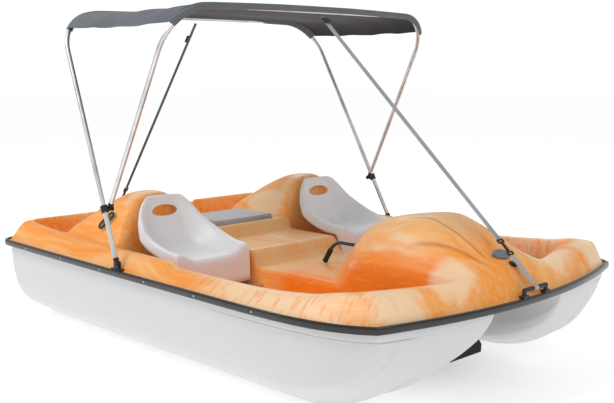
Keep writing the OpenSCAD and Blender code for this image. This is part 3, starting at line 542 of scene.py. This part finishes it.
def spread(stops):
    """Values from [(value, cells to the next), ..., last value]."""
    values = []
    for (a, cells), following in zip(stops[:-1], stops[1:]):
        b = following[0] if isinstance(following, tuple) else following
        values += [a + (b - a) * k / cells for k in range(cells)]
    last = stops[-1]
    return values + [last[0] if isinstance(last, tuple) else last]


def mirrored_spread(stops):
    half = spread(stops)
    return [-v for v in reversed(half[1:])] + half


def ease(a, b, x):
    t = max(0.0, min(1.0, (x - a) / (b - a)))
    return t * t * (3 - 2 * t)


def ramp(a, b, x):
    return max(0.0, min(1.0, (x - a) / (b - a)))


def mix(a, b, t):
    return a + (b - a) * t


class Curve:
    """A smooth line through points (x, value) that never overshoots them."""

    def __init__(self, points):
        self.points = points
        rises = [(b[1] - a[1]) / (b[0] - a[0]) for a, b in zip(points[:-1], points[1:])]
        self.slopes = [0.0]
        for a, b in zip(rises[:-1], rises[1:]):
            self.slopes.append(0.0 if a * b <= 0 else 2 * a * b / (a + b))
        self.slopes.append(0.0)

    def __call__(self, x):
        p = self.points
        i = 0
        while i < len(p) - 2 and x >= p[i + 1][0]:
            i += 1
        h = p[i + 1][0] - p[i][0]
        t = max(0.0, min(1.0, (x - p[i][0]) / h))
        return (
            (t * t * (2 * t - 3) + 1) * p[i][1]
            + t * (t * (t - 2) + 1) * h * self.slopes[i]
            + t * t * (3 - 2 * t) * p[i + 1][1]
            + t * t * (t - 1) * h * self.slopes[i + 1]
        )


def box_mesh(bm, centre, size, turn=None):
    """Adds a cuboid to bm, turned about its centre."""
    place = Matrix.Translation(centre) @ (turn or Matrix()) @ Matrix.Diagonal((*size, 1))
    return bmesh.ops.create_cube(bm, size=1, matrix=place)["verts"]


def rod_mesh(bm, a, b, radius, sides=20, cap=True):
    """Adds a round rod from a to b."""
    a, b = Vector(a), Vector(b)
    turn = (b - a).to_track_quat("Z", "Y").to_matrix().to_4x4()
    place = Matrix.Translation((a + b) / 2) @ turn
    made = bmesh.ops.create_cone(
        bm, cap_ends=cap, cap_tris=False, segments=sides, radius1=radius, radius2=radius,
        depth=(b - a).length, matrix=place,
    )
    return made["verts"]


def round_edges(bm, width, segments=2, angle=35, edges=None):
    chosen = edges or [
        e for e in bm.edges if len(e.link_faces) == 2 and e.calc_face_angle(0) > math.radians(angle)
    ]
    bmesh.ops.bevel(
        bm, geom=chosen, offset=width, offset_type="OFFSET", segments=segments, profile=0.5,
        affect="EDGES", material=-1, clamp_overlap=True,
    )


def sweep(bm, path, section, closed=False, normal=None):
    """Adds a tube of a closed section [(across, up), ...] along a path of points."""
    path = [Vector(p) for p in path]
    rings = []
    count = len(path)
    side = None
    for k, p in enumerate(path):
        before = path[k - 1] if k or closed else p
        after = path[(k + 1) % count] if k < count - 1 or closed else p
        along = (after - before).normalized()
        if normal is not None:
            up = Vector(normal)
            side = along.cross(up).normalized()
        else:
            side = along.cross(Vector((0, 0, 1))) if side is None else side - along * side.dot(along)
            if side.length < 1e-6:
                side = along.cross(Vector((0, 1, 0)))
            side.normalize()
        up = side.cross(along).normalized()
        rings.append([bm.verts.new(p + side * s + up * t) for s, t in section])
    edges = []
    for ring in rings:
        edges.append([bm.edges.new((ring[m], ring[(m + 1) % len(ring)])) for m in range(len(ring))])
    pairs = list(zip(edges[:-1], edges[1:])) + ([(edges[-1], edges[0])] if closed else [])
    for a, b in pairs:
        bmesh.ops.bridge_loops(bm, edges=a + b)
    if not closed:
        bmesh.ops.contextual_create(bm, geom=edges[0])
        bmesh.ops.contextual_create(bm, geom=edges[-1])
    bmesh.ops.recalc_face_normals(bm, faces=bm.faces)


def circle_section(radius, sides=20, flatten=1.0):
    return [
        (radius * math.cos(2 * math.pi * k / sides), flatten * radius * math.sin(2 * math.pi * k / sides))
        for k in range(sides)
    ]


# ---- the moulded shape, in millimetres as drawn ----

HALF_L = 1148
HALF_B = 807
FLANGE_Z = 345
CENTRE_LINE = Curve([
    (-1148, 440), (-1075, 440), (-1045, 305), (-850, 305), (-700, 432), (-345, 432), (-325, 380), (-50, 380),
    (-10, 318), (262, 318), (330, 400), (410, 500), (500, 553), (620, 580), (750, 594), (830, 570), (910, 533),
    (975, 490), (1040, 455), (1100, 420), (1148, 400),
])
BAY_LINE = Curve([
    (-1148, 440), (-1075, 440), (-1045, 305), (-900, 305), (-760, 425), (-390, 425), (-325, 245), (50, 245),
    (66, 130), (850, 130), (950, 418), (1040, 434), (1250, 430),
])
HUMP_LINE = Curve([
    (-1148, 440), (-1075, 440), (-1045, 305), (-930, 310), (-830, 440), (-750, 498), (-665, 550), (-540, 600),
    (-455, 612), (-415, 604), (-325, 245), (50, 245), (66, 130), (850, 130), (950, 418), (1040, 434), (1250, 430),
])
COAMING_LINE = Curve([
    (-1148, 440), (-1000, 428), (-700, 412), (0, 408), (60, 390), (450, 392), (750, 410), (950, 436), (1050, 440),
    (1148, 438),
])
HULL_SECTION = [
    (0, 262), (20, 262), (160, 262), (204, 262), (226, 255), (236, 238), (241, 180), (244, 120), (258, 74),
    (300, 45), (360, 26), (405, 8), (425, 0), (455, 0), (480, 10), (497, 30), (523, 30), (540, 10), (565, 0),
    (600, 0), (650, 26), (700, 56), (740, 94), (764, 142), (778, 205), (786, 325), (791, 341), (807, 341),
]


def beam(u):
    half = HALF_B
    if u > 300:
        half -= 115 * ((u - 300) / 848) ** 4
    if u < 0:
        half -= 15 * (u / HALF_L) ** 2
    if u < -1090:
        half -= 60 - math.sqrt(max(0.0, 3600 - (-1090 - u) ** 2))
    return half


def place(u, w, z):
    """A point in metres from station u, nominal distance w off the centre line and height z."""
    v = w / HALF_B
    back = 110 * ((u - 500) / 648) ** 2 if u > 500 else 0
    return Vector(((u - back * v * v) * MM, v * beam(u) * MM, z * MM))


def deck_height(u, w):
    """Height of the deck's outer face: wells, humps, console and coaming between the flanges."""
    w = abs(w)
    leg_u = u if u < 300 else u - 45 + 125 * ramp(262, 671, w) ** 1.6
    hump = max(0.0, 1 - (abs(w - 462) / 208) ** 2.2) ** 0.85
    bay = mix(BAY_LINE(leg_u), HUMP_LINE(leg_u), hump)
    middle = CENTRE_LINE(max(min(u, 262), u - 190 * ramp(0, 238, w) ** 2 * (1 - ramp(560, 760, u))))
    middle -= max(0.0, middle - 430) * ramp(40, 238, w) ** 2.2
    height = mix(middle, bay, ramp(250, 262, w))
    height = mix(height, COAMING_LINE(u), ramp(671, 683, w))
    rise = math.sin(math.pi / 2 * ramp(16, 100, HALF_B - w))
    rise *= math.sin(math.pi / 2 * ramp(16, 66 if u < 0 else 100, HALF_L - abs(u)))
    return 349 + (height - 349) * rise


def hull_depth(u):
    """Share of the section's depth reached at station u."""
    if u < 640:
        return (1 - (1 - ramp(-1134, -1074, u)) ** 2.5) ** 0.4
    return max(0.0, 1 - ramp(640, 1134, u) ** 1.9) ** 0.52


def resampled(points, step, passes):
    """Points spaced step apart along a line, with its corners rounded."""
    out = []
    for a, b in zip(points[:-1], points[1:]):
        cells = max(1, round(math.dist(a, b) / step))
        out += [(mix(a[0], b[0], k / cells), mix(a[1], b[1], k / cells)) for k in range(cells)]
    out.append(points[-1])
    for _ in range(passes):
        out = [out[0]] + [
            (
                (out[k - 1][0] + 2 * out[k][0] + out[k + 1][0]) / 4,
                (out[k - 1][1] + 2 * out[k][1] + out[k + 1][1]) / 4,
            )
            for k in range(1, len(out) - 1)
        ] + [out[-1]]
    return out


# ---- pieces ----


def build_hull():
    half = resampled(HULL_SECTION, 9, 2)
    section = [(-w, z) for w, z in reversed(half[1:])] + half
    rows = spread([
        (-1148, 1), (-1134, 16), (-1074, 4), (-1005, 2), (-965, 14), (430, 10), (640, 30), (975, 10), (1060, 14),
        (1128, 5), (1134, 1), 1148,
    ])
    tucked = Curve([(0, 0), (350, 0), (700, 7), (1148, 7)])

    def point(u, k):
        w, z = section[k]
        z = FLANGE_Z - 4 - (FLANGE_Z - 4 - z) * hull_depth(u)
        side = math.copysign(1, w)
        if abs(w) > 700:
            w -= side * tucked(u) * (1 - ease(300, 304, z)) * ease(120, 220, z)
        return place(u, w, z)

    bm, keys = sheet_mesh(rows, list(range(len(section))), point)
    gone = []
    for face in bm.faces:
        u = sum(rows[keys[v][0]] for v in face.verts) / 4
        w = sum(abs(section[keys[v][1]][0]) for v in face.verts) / 4
        if (w < 160 and 430 < u < 975) or (w < 20 and -1005 < u < -965):
            gone.append(face)
    bmesh.ops.delete(bm, geom=gone, context="FACES")
    bmesh.ops.reverse_faces(bm, faces=bm.faces)
    piece = new_piece("hull_moulding", bm, finish().hull(), BODY_OF["hull"], ["hull"], 60)
    thicken(piece, sizes().hull_wall)


def build_deck():
    columns = mirrored_spread([
        (0, 2), (14, 5), (60, 4), (110, 4), (160, 8), (240, 1), (250, 8), (262, 1), (272, 34), (645, 3), (671, 8),
        (683, 2), (705, 11), (791, 2), HALF_B,
    ])
    rows = spread([
        (-HALF_L, 2), (-1132, 7), (-1075, 8), (-1045, 9), (-930, 9), (-830, 18), (-610, 17), (-415, 3), (-380, 5),
        (-345, 4), (-325, 22), (-50, 6), (-10, 5), (50, 8), (66, 14), (262, 4), (301, 4), (332, 14), (500, 14),
        (680, 4), (720, 8), (790, 26), (1030, 9), (1112, 4), (1132, 2), HALF_L,
    ])
    bm, keys = sheet_mesh(rows, columns, lambda u, w: place(u, w, deck_height(u, w)))
    gone = []
    for face in bm.faces:
        u = sum(rows[keys[v][0]] for v in face.verts) / 4
        w = sum(abs(columns[keys[v][1]]) for v in face.verts) / 4
        cooler = -610 < u < -380 and w < 160
        lever = 301 < u < 332 and w < 14
        crank = 680 < u < 720 and 254 < w < 258
        if cooler or lever or crank:
            gone.append(face)
    bmesh.ops.delete(bm, geom=gone, context="FACES")
    free = [v for v in bm.verts if not v.is_boundary]
    for _ in range(3):
        bmesh.ops.smooth_vert(bm, verts=free, factor=0.45, use_axis_x=True, use_axis_y=True, use_axis_z=True)
    piece = new_piece("deck_moulding", bm, finish().deck(), BODY_OF["deck"], ["deck"], 75)
    thicken(piece, sizes().deck_wall)


def build_rail():
    edge = [place(u, -HALF_B, FLANGE_Z) for u in spread([
        (-1148, 2), (-1142, 4), (-1120, 5), (-1090, 8), (-600, 16), (500, 14), (900, 14), 1148])]
    front = [place(HALF_L, v * HALF_B, FLANGE_Z) for v in spread([(-1, 18), 1])[1:-1]]
    port = [Vector((p.x, -p.y, p.z)) for p in reversed(edge)]
    back = [Vector((-HALF_L * MM, y * MM, FLANGE_Z * MM)) for y in (600, 300, 0, -300, -600)]
    path = edge + front + port + back
    outer = [(-6.5, 11), (-5.5, 12.4), (-3, 13), (3, 13), (5.6, 12), (7.4, 9), (8, 5), (8, -5), (7.4, -9), (5.6, -12),
             (3, -13), (-3, -13), (-5.5, -12.4), (-6.5, -11)]
    inner = [(-6.5, -4.6), (0.6, -4.6), (0.6, 4.6), (-6.5, 4.6)]
    bm = bmesh.new()
    sweep(bm, path, [(s * MM, t * MM) for s, t in outer + inner], closed=True, normal=(0, 0, 1))
    new_piece("rub_rail_extrusion", bm, finish().rail(), BODY_OF["rub_rail"], ["rub_rail"], 30)


SEAT_LINE = [
    (-388, 590, 60, 0, 0), (-381, 600, 66, 2, 0), (-371, 596, 84, 8, 0), (-364, 562, 122, 20, 0),
    (-350, 512, 150, 36, 6), (-338, 478, 162, 50, 18), (-324, 442, 174, 64, 34), (-303, 408, 180, 84, 48),
    (-268, 388, 182, 90, 52), (-218, 380, 182, 72, 50), (-150, 378, 182, 43, 43), (-92, 381, 182, 20, 37),
    (-52, 383, 182, 4, 34), (-33, 373, 182, 0, 34), (-27, 348, 182, 0, 18), (-25, 264, 182, 0, 0),
]
SEAT_CURVES = [Curve([(k, row[m]) for k, row in enumerate(SEAT_LINE)]) for m in range(5)]
SEAT_Y = 456


def seat_point(s, t):
    """A point of the seat shell: s along its middle line, t across, past 1 down its skirt."""
    x, z, half, forward, up = (c(s) for c in SEAT_CURVES)
    a = min(1.0, abs(t))
    side = math.copysign(1, t) if t else 1
    push = ease(0.45, 0.95, a)
    x += forward * push
    y = side * half * a
    z += up * push
    k = abs(t) - 1
    if k > 0:
        back = ease(470, 560, z) if s < 8 else 0
        x -= mix(26, 10, back) * ease(0, 1, k)
        y += side * 5 * k
        z = max(262.5, z - mix(48, 7, back) * k)
    return Vector((x * MM, y * MM, z * MM))


def build_seat(side, label):
    along = spread([(0, 4), (2, 6), (2.9, 16), (4.1, 20), (12, 6), (13, 5), (14, 3), 15])
    across = mirrored_spread([(0, 14), (0.5, 9), (0.95, 2), (1.0, 5), 1.8])
    bm, keys = sheet_mesh(along, across, seat_point)

    def slot_radius(s, t):
        return math.hypot((s - 3.5) / 0.44, t / 0.46)

    inside = [
        f for f in bm.faces
        if slot_radius(sum(along[keys[v][0]] for v in f.verts) / 4, sum(across[keys[v][1]] for v in f.verts) / 4) < 1
    ]
    rim = {v for f in inside for v in f.verts if any(other not in inside for other in v.link_faces)}
    for v in rim:
        s, t = along[keys[v][0]], across[keys[v][1]]
        r = slot_radius(s, t)
        v.co = seat_point(3.5 + (s - 3.5) / r, t / r)
    bmesh.ops.delete(bm, geom=inside, context="FACES")
    free = [v for v in bm.verts if not v.is_boundary]
    for _ in range(2):
        bmesh.ops.smooth_vert(bm, verts=free, factor=0.5, use_axis_x=True, use_axis_y=True, use_axis_z=True)
    bmesh.ops.translate(bm, verts=bm.verts, vec=(0, side * SEAT_Y * MM, 0))
    node = label + "_seat"
    piece = new_piece(node + "_shell", bm, finish().seat(), BODY_OF[node], [node], 60)
    thicken(piece, sizes().seat_wall)


def build_canopy():
    main = JOINTS["canopy_fold"]["pos_m"]
    front = JOINTS["front_bow_fold"]["pos_m"]
    lean_a, lean_b = math.radians(-26.7), math.radians(26.6)
    radius, gap = 9.5, 2.5
    top_a = (main[0] / MM + (1086 + radius + gap) * math.sin(lean_a), main[2] / MM + (1086 + radius + gap) * math.cos(lean_a))
    top_b = (front[0] / MM + (864 + radius + gap) * math.sin(lean_b), front[2] / MM + (864 + radius + gap) * math.cos(lean_b))
    edge_y = 737 + radius + gap
    corner = 190 + radius + gap
    half = [(0, 8), (200, 7.5), (350, 5), (edge_y - corner - 40, 1), (edge_y - corner, 0)]
    half += [
        (edge_y - corner * (1 - math.sin(math.radians(a))), -corner * (1 - math.cos(math.radians(a))))
        for a in range(6, 55, 6)
    ]
    half = resampled(half, 9, 1)
    section = [(-y, z) for y, z in reversed(half[1:])] + half
    reach = [0.0]
    for a, b in zip(section[:-1], section[1:]):
        reach.append(reach[-1] + math.dist(a, b))
    along = spread([(-1.6, 6), (-1, 12), (0, 40), (1, 12), (2, 6), 2.6])
    span = math.dist(top_a, top_b)
    reach_round = radius + gap
    turned = math.radians(235)
    outward = [
        Vector((section[min(k + 1, len(section) - 1)][0] - section[max(k - 1, 0)][0],
                section[min(k + 1, len(section) - 1)][1] - section[max(k - 1, 0)][1]))
        for k in range(len(section))
    ]
    outward = [Vector((-d.y, d.x)).normalized() for d in outward]

    def pocket(end, k):
        """Cloth turned round a bow's tube and laid back under the sheet: end runs from 0 to 1.6"""
        past_a = end < 0
        lean, top = (lean_a, top_a) if past_a else (lean_b, top_b)
        end = abs(end) if past_a else end - 1
        y, drop = section[k]
        n = outward[k]
        up = Vector((math.sin(lean) * n.y, n.x, math.cos(lean) * n.y))
        aside = Vector((math.cos(lean), 0, -math.sin(lean))) * (-1 if past_a else 1)
        foot = Vector((top[0] + drop * math.sin(lean), y, top[1] + drop * math.cos(lean)))
        middle = foot - up * reach_round
        turn = turned * min(1.0, end)
        at = middle + (up * math.cos(turn) + aside * math.sin(turn)) * reach_round
        if end > 1:
            at += (up * 0.55 - aside).normalized() * (end - 1) * 30
        return at * MM

    def point(f, k):
        if f < 0 or f > 1:
            return pocket(f, k)
        y, drop = section[k]
        foot_a = (top_a[0] + drop * math.sin(lean_a), top_a[1] + drop * math.cos(lean_a))
        foot_b = (top_b[0] + drop * math.sin(lean_b), top_b[1] + drop * math.cos(lean_b))
        belly = 4 * f * (1 - f)
        side = ease(edge_y - corner, edge_y, abs(y))
        x = mix(foot_a[0], foot_b[0], f)
        z = mix(foot_a[1], foot_b[1], f)
        z -= belly * (14 - 8 * side)
        y += math.copysign(6 * belly * side, y)
        # soft folds that fan out of the corners where the cloth is strained
        near = ease(150, edge_y, abs(y))
        fan = math.sin((f * 5.5 + abs(y) / 150) * 2.4) * math.sin(f * 9.0 + y / 90)
        z += fan * 3.4 * belly ** 0.5 * (0.35 + 0.65 * near)
        z += noise.noise(Vector((x / 60, y / 160, 1.5))) * 2.6 * belly ** 0.5
        return Vector((x * MM, y * MM, z * MM))

    def laid_flat(f, k):
        wrap = turned * reach_round
        f_mm = f * span
        if f < 0:
            f_mm = -wrap * min(1, -f) - 30 * max(0, -f - 1)
        elif f > 1:
            f_mm = span + wrap * min(1, f - 1) + 30 * max(0, f - 2)
        return f_mm * MM, (reach[k] - reach[-1] / 2) * MM

    bm, keys = sheet_mesh(
        along, list(range(len(section))), point,
        laid_flat,
    )
    inner = bm.verts.layers.float.new("inner_side")
    top_face = max(bm.faces, key=lambda face: face.calc_center_median().z)
    top_face.normal_update()
    if top_face.normal.z < 0:
        bmesh.ops.reverse_faces(bm, faces=bm.faces)
    first_layer = set(bm.verts)
    bmesh.ops.solidify(bm, geom=bm.faces[:], thickness=sizes().cloth_wall)
    bm.normal_update()
    first_is_inner = sum(v.normal.z for v in first_layer) < 0
    cloth = finish().cloth(
        "canopy_cloth", tuple(colours().cloth), tuple(colours().cloth_shaded_side), 4200.0, 0.85, 0.08
    )
    for v in bm.verts:
        v[inner] = float((v in first_layer) == first_is_inner)
    piece = new_piece("canopy_cloth_sheet", bm, cloth, None, ["canopy"], 60)
    a = Vector((top_a[0] * MM, 0, top_a[1] * MM))
    b = Vector((top_b[0] * MM, 0, top_b[1] * MM))
    return piece, a, b


def build_webbing(name, a, b, width, wall, material, body, nodes, twist=0.0, sag=0.0):
    """A flat strap from a to b."""
    a, b = Vector(a), Vector(b)
    along = (b - a).normalized()
    side = along.cross(Vector((0, 0, 1))).normalized()
    up = side.cross(along)
    length = (b - a).length
    cells = max(4, int(length / 0.02))

    def point(s, t):
        turn = twist * s
        wide = side * math.cos(turn) + up * math.sin(turn)
        return a + along * (length * s) + wide * (t * width / 2) + up * (-sag * 4 * s * (1 - s))

    bm, _ = sheet_mesh(
        [k / cells for k in range(cells + 1)], [-1, -0.9, -0.5, 0, 0.5, 0.9, 1], point,
        lambda s, t: (s * length, t * width / 2),
    )
    bmesh.ops.solidify(bm, geom=bm.faces[:], thickness=wall)
    return new_piece(name, bm, material, body, nodes, 50)


# ---- operators ----


class BOAT_OT_hull(bpy.types.Operator):
    """Mould the two floats and the tunnel between them"""

    bl_idname = "boat.hull"
    bl_label = "Hull"

    def execute(self, context):
        build_hull()
        for node in ("starboard_float_block", "port_float_block"):
            refined(node, finish().plastic("float_foam", srgb(238, 236, 226), 0.8, 260.0, 0.0012, 0.0), 0.004)
        refined("drain_plugs", finish().black(), 0.0015)
        return {"FINISHED"}


class BOAT_OT_deck(bpy.types.Operator):
    """Mould the deck with its console, wells, humps and coaming"""

    bl_idname = "boat.deck"
    bl_label = "Deck"

    def execute(self, context):
        build_deck()
        return {"FINISHED"}


class BOAT_OT_rail(bpy.types.Operator):
    """Sweep the rub rail round the joint of hull and deck"""

    bl_idname = "boat.rail"
    bl_label = "Rub rail"

    def execute(self, context):
        build_rail()
        refined("rail_screws", finish().steel(), 0.0004)
        return {"FINISHED"}


class BOAT_OT_seats(bpy.types.Operator):
    """Mould the bucket seats and lay their rails"""

    bl_idname = "boat.seats"
    bl_label = "Seats"

    def execute(self, context):
        build_seat(-1, "starboard")
        build_seat(1, "port")
        refined("seat_rails", finish().bright(), 0.0008)
        return {"FINISHED"}


class BOAT_OT_cooler(bpy.types.Operator):
    """Fit the cooler tub and its lid"""

    bl_idname = "boat.cooler"
    bl_label = "Cooler"

    def execute(self, context):
        grey = finish().plastic("cooler_grey", srgb(186, 188, 192), 0.45, 800.0, 0.0003, 0.2)
        refined("cooler_tub", grey, 0.0015)
        refined("cooler_lid", grey, 0.003, 3)
        refined("cooler_hinge_pin", finish().steel(), 0.0003)
        return {"FINISHED"}


class BOAT_OT_canopy(bpy.types.Operator):
    """Stretch the canopy cloth over the two bows"""

    bl_idname = "boat.canopy"
    bl_label = "Canopy"

    def execute(self, context):
        piece, a, b = build_canopy()
        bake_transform(piece)
        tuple(a)
        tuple(b)
        return {"FINISHED"}


class BOAT_OT_bows(bpy.types.Operator):
    """Bend the canopy's tubes and fit their hinges"""

    bl_idname = "boat.bows"
    bl_label = "Bows"

    def execute(self, context):
        for node in ("main_bow", "front_bow"):
            refined(node, finish().bright(), 0, smooth=50)
        for node in ("main_bow_ends", "front_bow_ends", "starboard_knuckle", "port_knuckle",
                     "starboard_deck_hinge", "port_deck_hinge"):
            refined(node, finish().black(), 0.0012)
        return {"FINISHED"}


class BOAT_OT_straps(bpy.types.Operator):
    """Run the webbing straps and their hardware"""

    bl_idname = "boat.straps"
    bl_label = "Straps"

    def execute(self, context):
        webbing = finish().cloth("strap_webbing", tuple(colours().webbing), None, 2600.0, 0.7, 0.1)
        dark = finish().cloth("rear_webbing", srgb(84, 86, 90), None, 2600.0, 0.7, 0.1)
        low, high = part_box("front_strap")
        build_webbing(
            "front_strap_webbing", (low.x, 0, high.z - 0.001), (high.x, 0, low.z + 0.001),
            sizes().webbing_width, sizes().webbing_wall, webbing, BODY_OF["front_strap"], ["front_strap"],
        )
        low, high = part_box("rear_strap")
        rear = build_webbing(
            "rear_strap_webbing", (high.x - 0.003, 0, high.z - 0.002),
            (low.x + 0.008, (low.y + high.y) / 2 - (high.y - low.y) / 2 + 0.011, low.z + 0.003),
            sizes().webbing_width, 0.0025, dark, None, ["rear_strap"],
        )
        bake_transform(rear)
        tether = finish().plastic("tether_webbing", tuple(colours().webbing), 0.8, 1800.0, 0.0004, 0.0)
        refined("bow_tether", tether, 0.0003)
        for node in ("rear_strap_adjuster", "rear_strap_hook", "rear_strap_eye", "front_strap_buckle",
                     "front_strap_hook", "bow_tether_ring"):
            refined(node, finish().black(), 0.001)
        return {"FINISHED"}


class BOAT_OT_handles(bpy.types.Operator):
    """Fit the carrying handles, grips, plug and badge"""

    bl_idname = "boat.handles"
    bl_label = "Handles and trim"

    def execute(self, context):
        for node in ("bow_handle", "stern_handle"):
            refined(node, finish().black(), 0.0025, 3, grow=0.0022)
        refined("vent_plug", finish().black(), 0.0015, 3)
        for node in ("starboard_oval_grip", "port_oval_grip"):
            refined(node, finish().black(), 0.001)
        refined("handle_screws", finish().steel(), 0.0004)
        badge = finish().plastic("badge_smoked", srgb(70, 78, 88), 0.15, 300.0, 0.0001, 0.1, 1.0)
        refined("nose_badge", badge, 0.0015, 3)
        return {"FINISHED"}


class BOAT_OT_drive(bpy.types.Operator):
    """Build the crank, its bearings, pedals and paddle wheel"""

    bl_idname = "boat.drive"
    bl_label = "Paddle drive"

    def execute(self, context):
        for node in ("inner_crank_bearings", "outer_crank_bearings", "paddle_wheel",
                     "starboard_inner_pedal", "starboard_outer_pedal", "port_inner_pedal", "port_outer_pedal"):
            refined(node, finish().black(), 0.0015)
        refined("crankshaft", finish().steel(), 0.0015)
        refined("bearing_screws", finish().steel(), 0.0004)
        return {"FINISHED"}


class BOAT_OT_steering(bpy.types.Operator):
    """Build the lever, its rod and the rudder"""

    bl_idname = "boat.steering"
    bl_label = "Steering"

    def execute(self, context):
        tube = finish().plastic("lever_coating", srgb(24, 24, 26), 0.2, 400.0, 0.0001, 0.2, 0.8)
        grip = finish().plastic("grip_rubber", srgb(16, 16, 17), 0.7, 700.0, 0.0006, 0.0)
        refined("steering_lever", tube, 0, smooth=50)
        refined("lever_grip", grip, 0, smooth=50)
        refined("steering_bushing", finish().black(), 0.001)
        refined("steering_rod", finish().steel(), 0.0006)
        refined("rudder_stock", finish().steel(), 0.0006)
        refined("rudder_bushing", finish().black(), 0.001)
        refined("rudder_blade", finish().black(), 0.003, 3)
        return {"FINISHED"}


class BOAT_OT_stage(bpy.types.Operator):
    """Set the pale floor, the soft lights and the camera"""

    bl_idname = "boat.stage"
    bl_label = "Stage"

    def execute(self, context):
        material = bpy.data.materials.new("studio_floor")
        material.use_nodes = True
        g = Graph(material.node_tree)
        shader = material.node_tree.nodes["Principled BSDF"]
        cloud = g.noise(g.position(), 0.8, 2.0)
        g.feed(shader.inputs["Base Color"], g.mix(cloud, (0.83, 0.83, 0.83), (0.85, 0.85, 0.85)))
        shader.inputs["Roughness"].default_value = 0.9
        shader.inputs["Specular IOR Level"].default_value = 0.0
        shader.inputs["Emission Color"].default_value = (1, 1, 1, 1)
        shader.inputs["Emission Strength"].default_value = 0.48
        bm = bmesh.new()
        bmesh.ops.create_grid(bm, x_segments=8, y_segments=8, size=30)
        bmesh.ops.translate(bm, verts=bm.verts, vec=(0, 0, -0.0006))
        floor = new_piece("studio_floor", bm, material, None)
        world = bpy.data.worlds.new("studio_air")
        world.use_nodes = True
        air = Graph(world.node_tree)
        glow = world.node_tree.nodes["Background"]
        glow.inputs["Color"].default_value = (1, 1, 1, 1)
        seen = air.add("LightPath").outputs["Is Camera Ray"]
        air.feed(glow.inputs["Strength"], air.band(seen, 0.0, 1.0, 0.6, 1.05))
        context.scene.world = world
        for name, place_at, size, power in (
            ("key", (-1.2, -3.9, 4.6), 2.6, 105), ("fill", (5.0, -1.0, 3.4), 3.0, 22), ("back", (-4.0, 3.5, 4.2), 2.6, 45),
        ):
            lamp = bpy.data.lights.new(name + "_softbox", "AREA")
            lamp.shape = "DISK"
            lamp.size = size
            lamp.energy = power
            body = bpy.data.objects.new(name + "_softbox", lamp)
            body.location = place_at
            body.rotation_euler = (Vector((0, 0, 0.5)) - Vector(place_at)).to_track_quat("-Z", "Y").to_euler()
            context.scene.collection.objects.link(body)
        lens = bpy.data.cameras.new("view_camera")
        lens.sensor_width = 36
        lens.lens = 55.37
        lens.clip_end = 100
        camera = bpy.data.objects.new("view_camera", lens)
        camera.location = (2.848, -2.765, 1.130)
        camera.rotation_euler = (math.radians(90 - 8.13), 0, math.radians(45.57))
        context.scene.collection.objects.link(camera)
        context.scene.camera = camera
        context.scene.view_settings.view_transform = "Standard"
        return {"FINISHED"}


STEPS = (
    BOAT_OT_hull, BOAT_OT_deck, BOAT_OT_rail, BOAT_OT_seats, BOAT_OT_cooler, BOAT_OT_canopy, BOAT_OT_bows,
    BOAT_OT_straps, BOAT_OT_handles, BOAT_OT_drive, BOAT_OT_steering, BOAT_OT_stage,
)


class BOAT_PT_panel(bpy.types.Panel):
    """Lists the boat's pieces and their settings"""

    bl_idname = "BOAT_PT_panel"
    bl_label = "Pedal Boat"
    bl_space_type = "VIEW_3D"
    bl_region_type = "UI"
    bl_category = "Pedal Boat"

    def draw(self, context):
        for group in (context.scene.boat_colours, context.scene.boat_sizes):
            for key in group.__annotations__:
                self.layout.prop(group, key)
        for step in STEPS:
            self.layout.operator(step.bl_idname)


CLASSES = (BoatColours, BoatSizes, *STEPS, BOAT_PT_panel)


def register():
    for cls in CLASSES:
        bpy.utils.register_class(cls)
    bpy.types.Scene.boat_colours = bpy.props.PointerProperty(type=BoatColours)
    bpy.types.Scene.boat_sizes = bpy.props.PointerProperty(type=BoatSizes)


def unregister():
    del bpy.types.Scene.boat_colours
    del bpy.types.Scene.boat_sizes
    for cls in reversed(CLASSES):
        bpy.utils.unregister_class(cls)


def main():
    register()
    for step in STEPS:
        name = step.bl_idname.split(".")[1]
        if getattr(bpy.ops.boat, name)() != {"FINISHED"}:
            raise RuntimeError(name + " did not finish")
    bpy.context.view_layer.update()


if __name__ == "__main__":
    main()
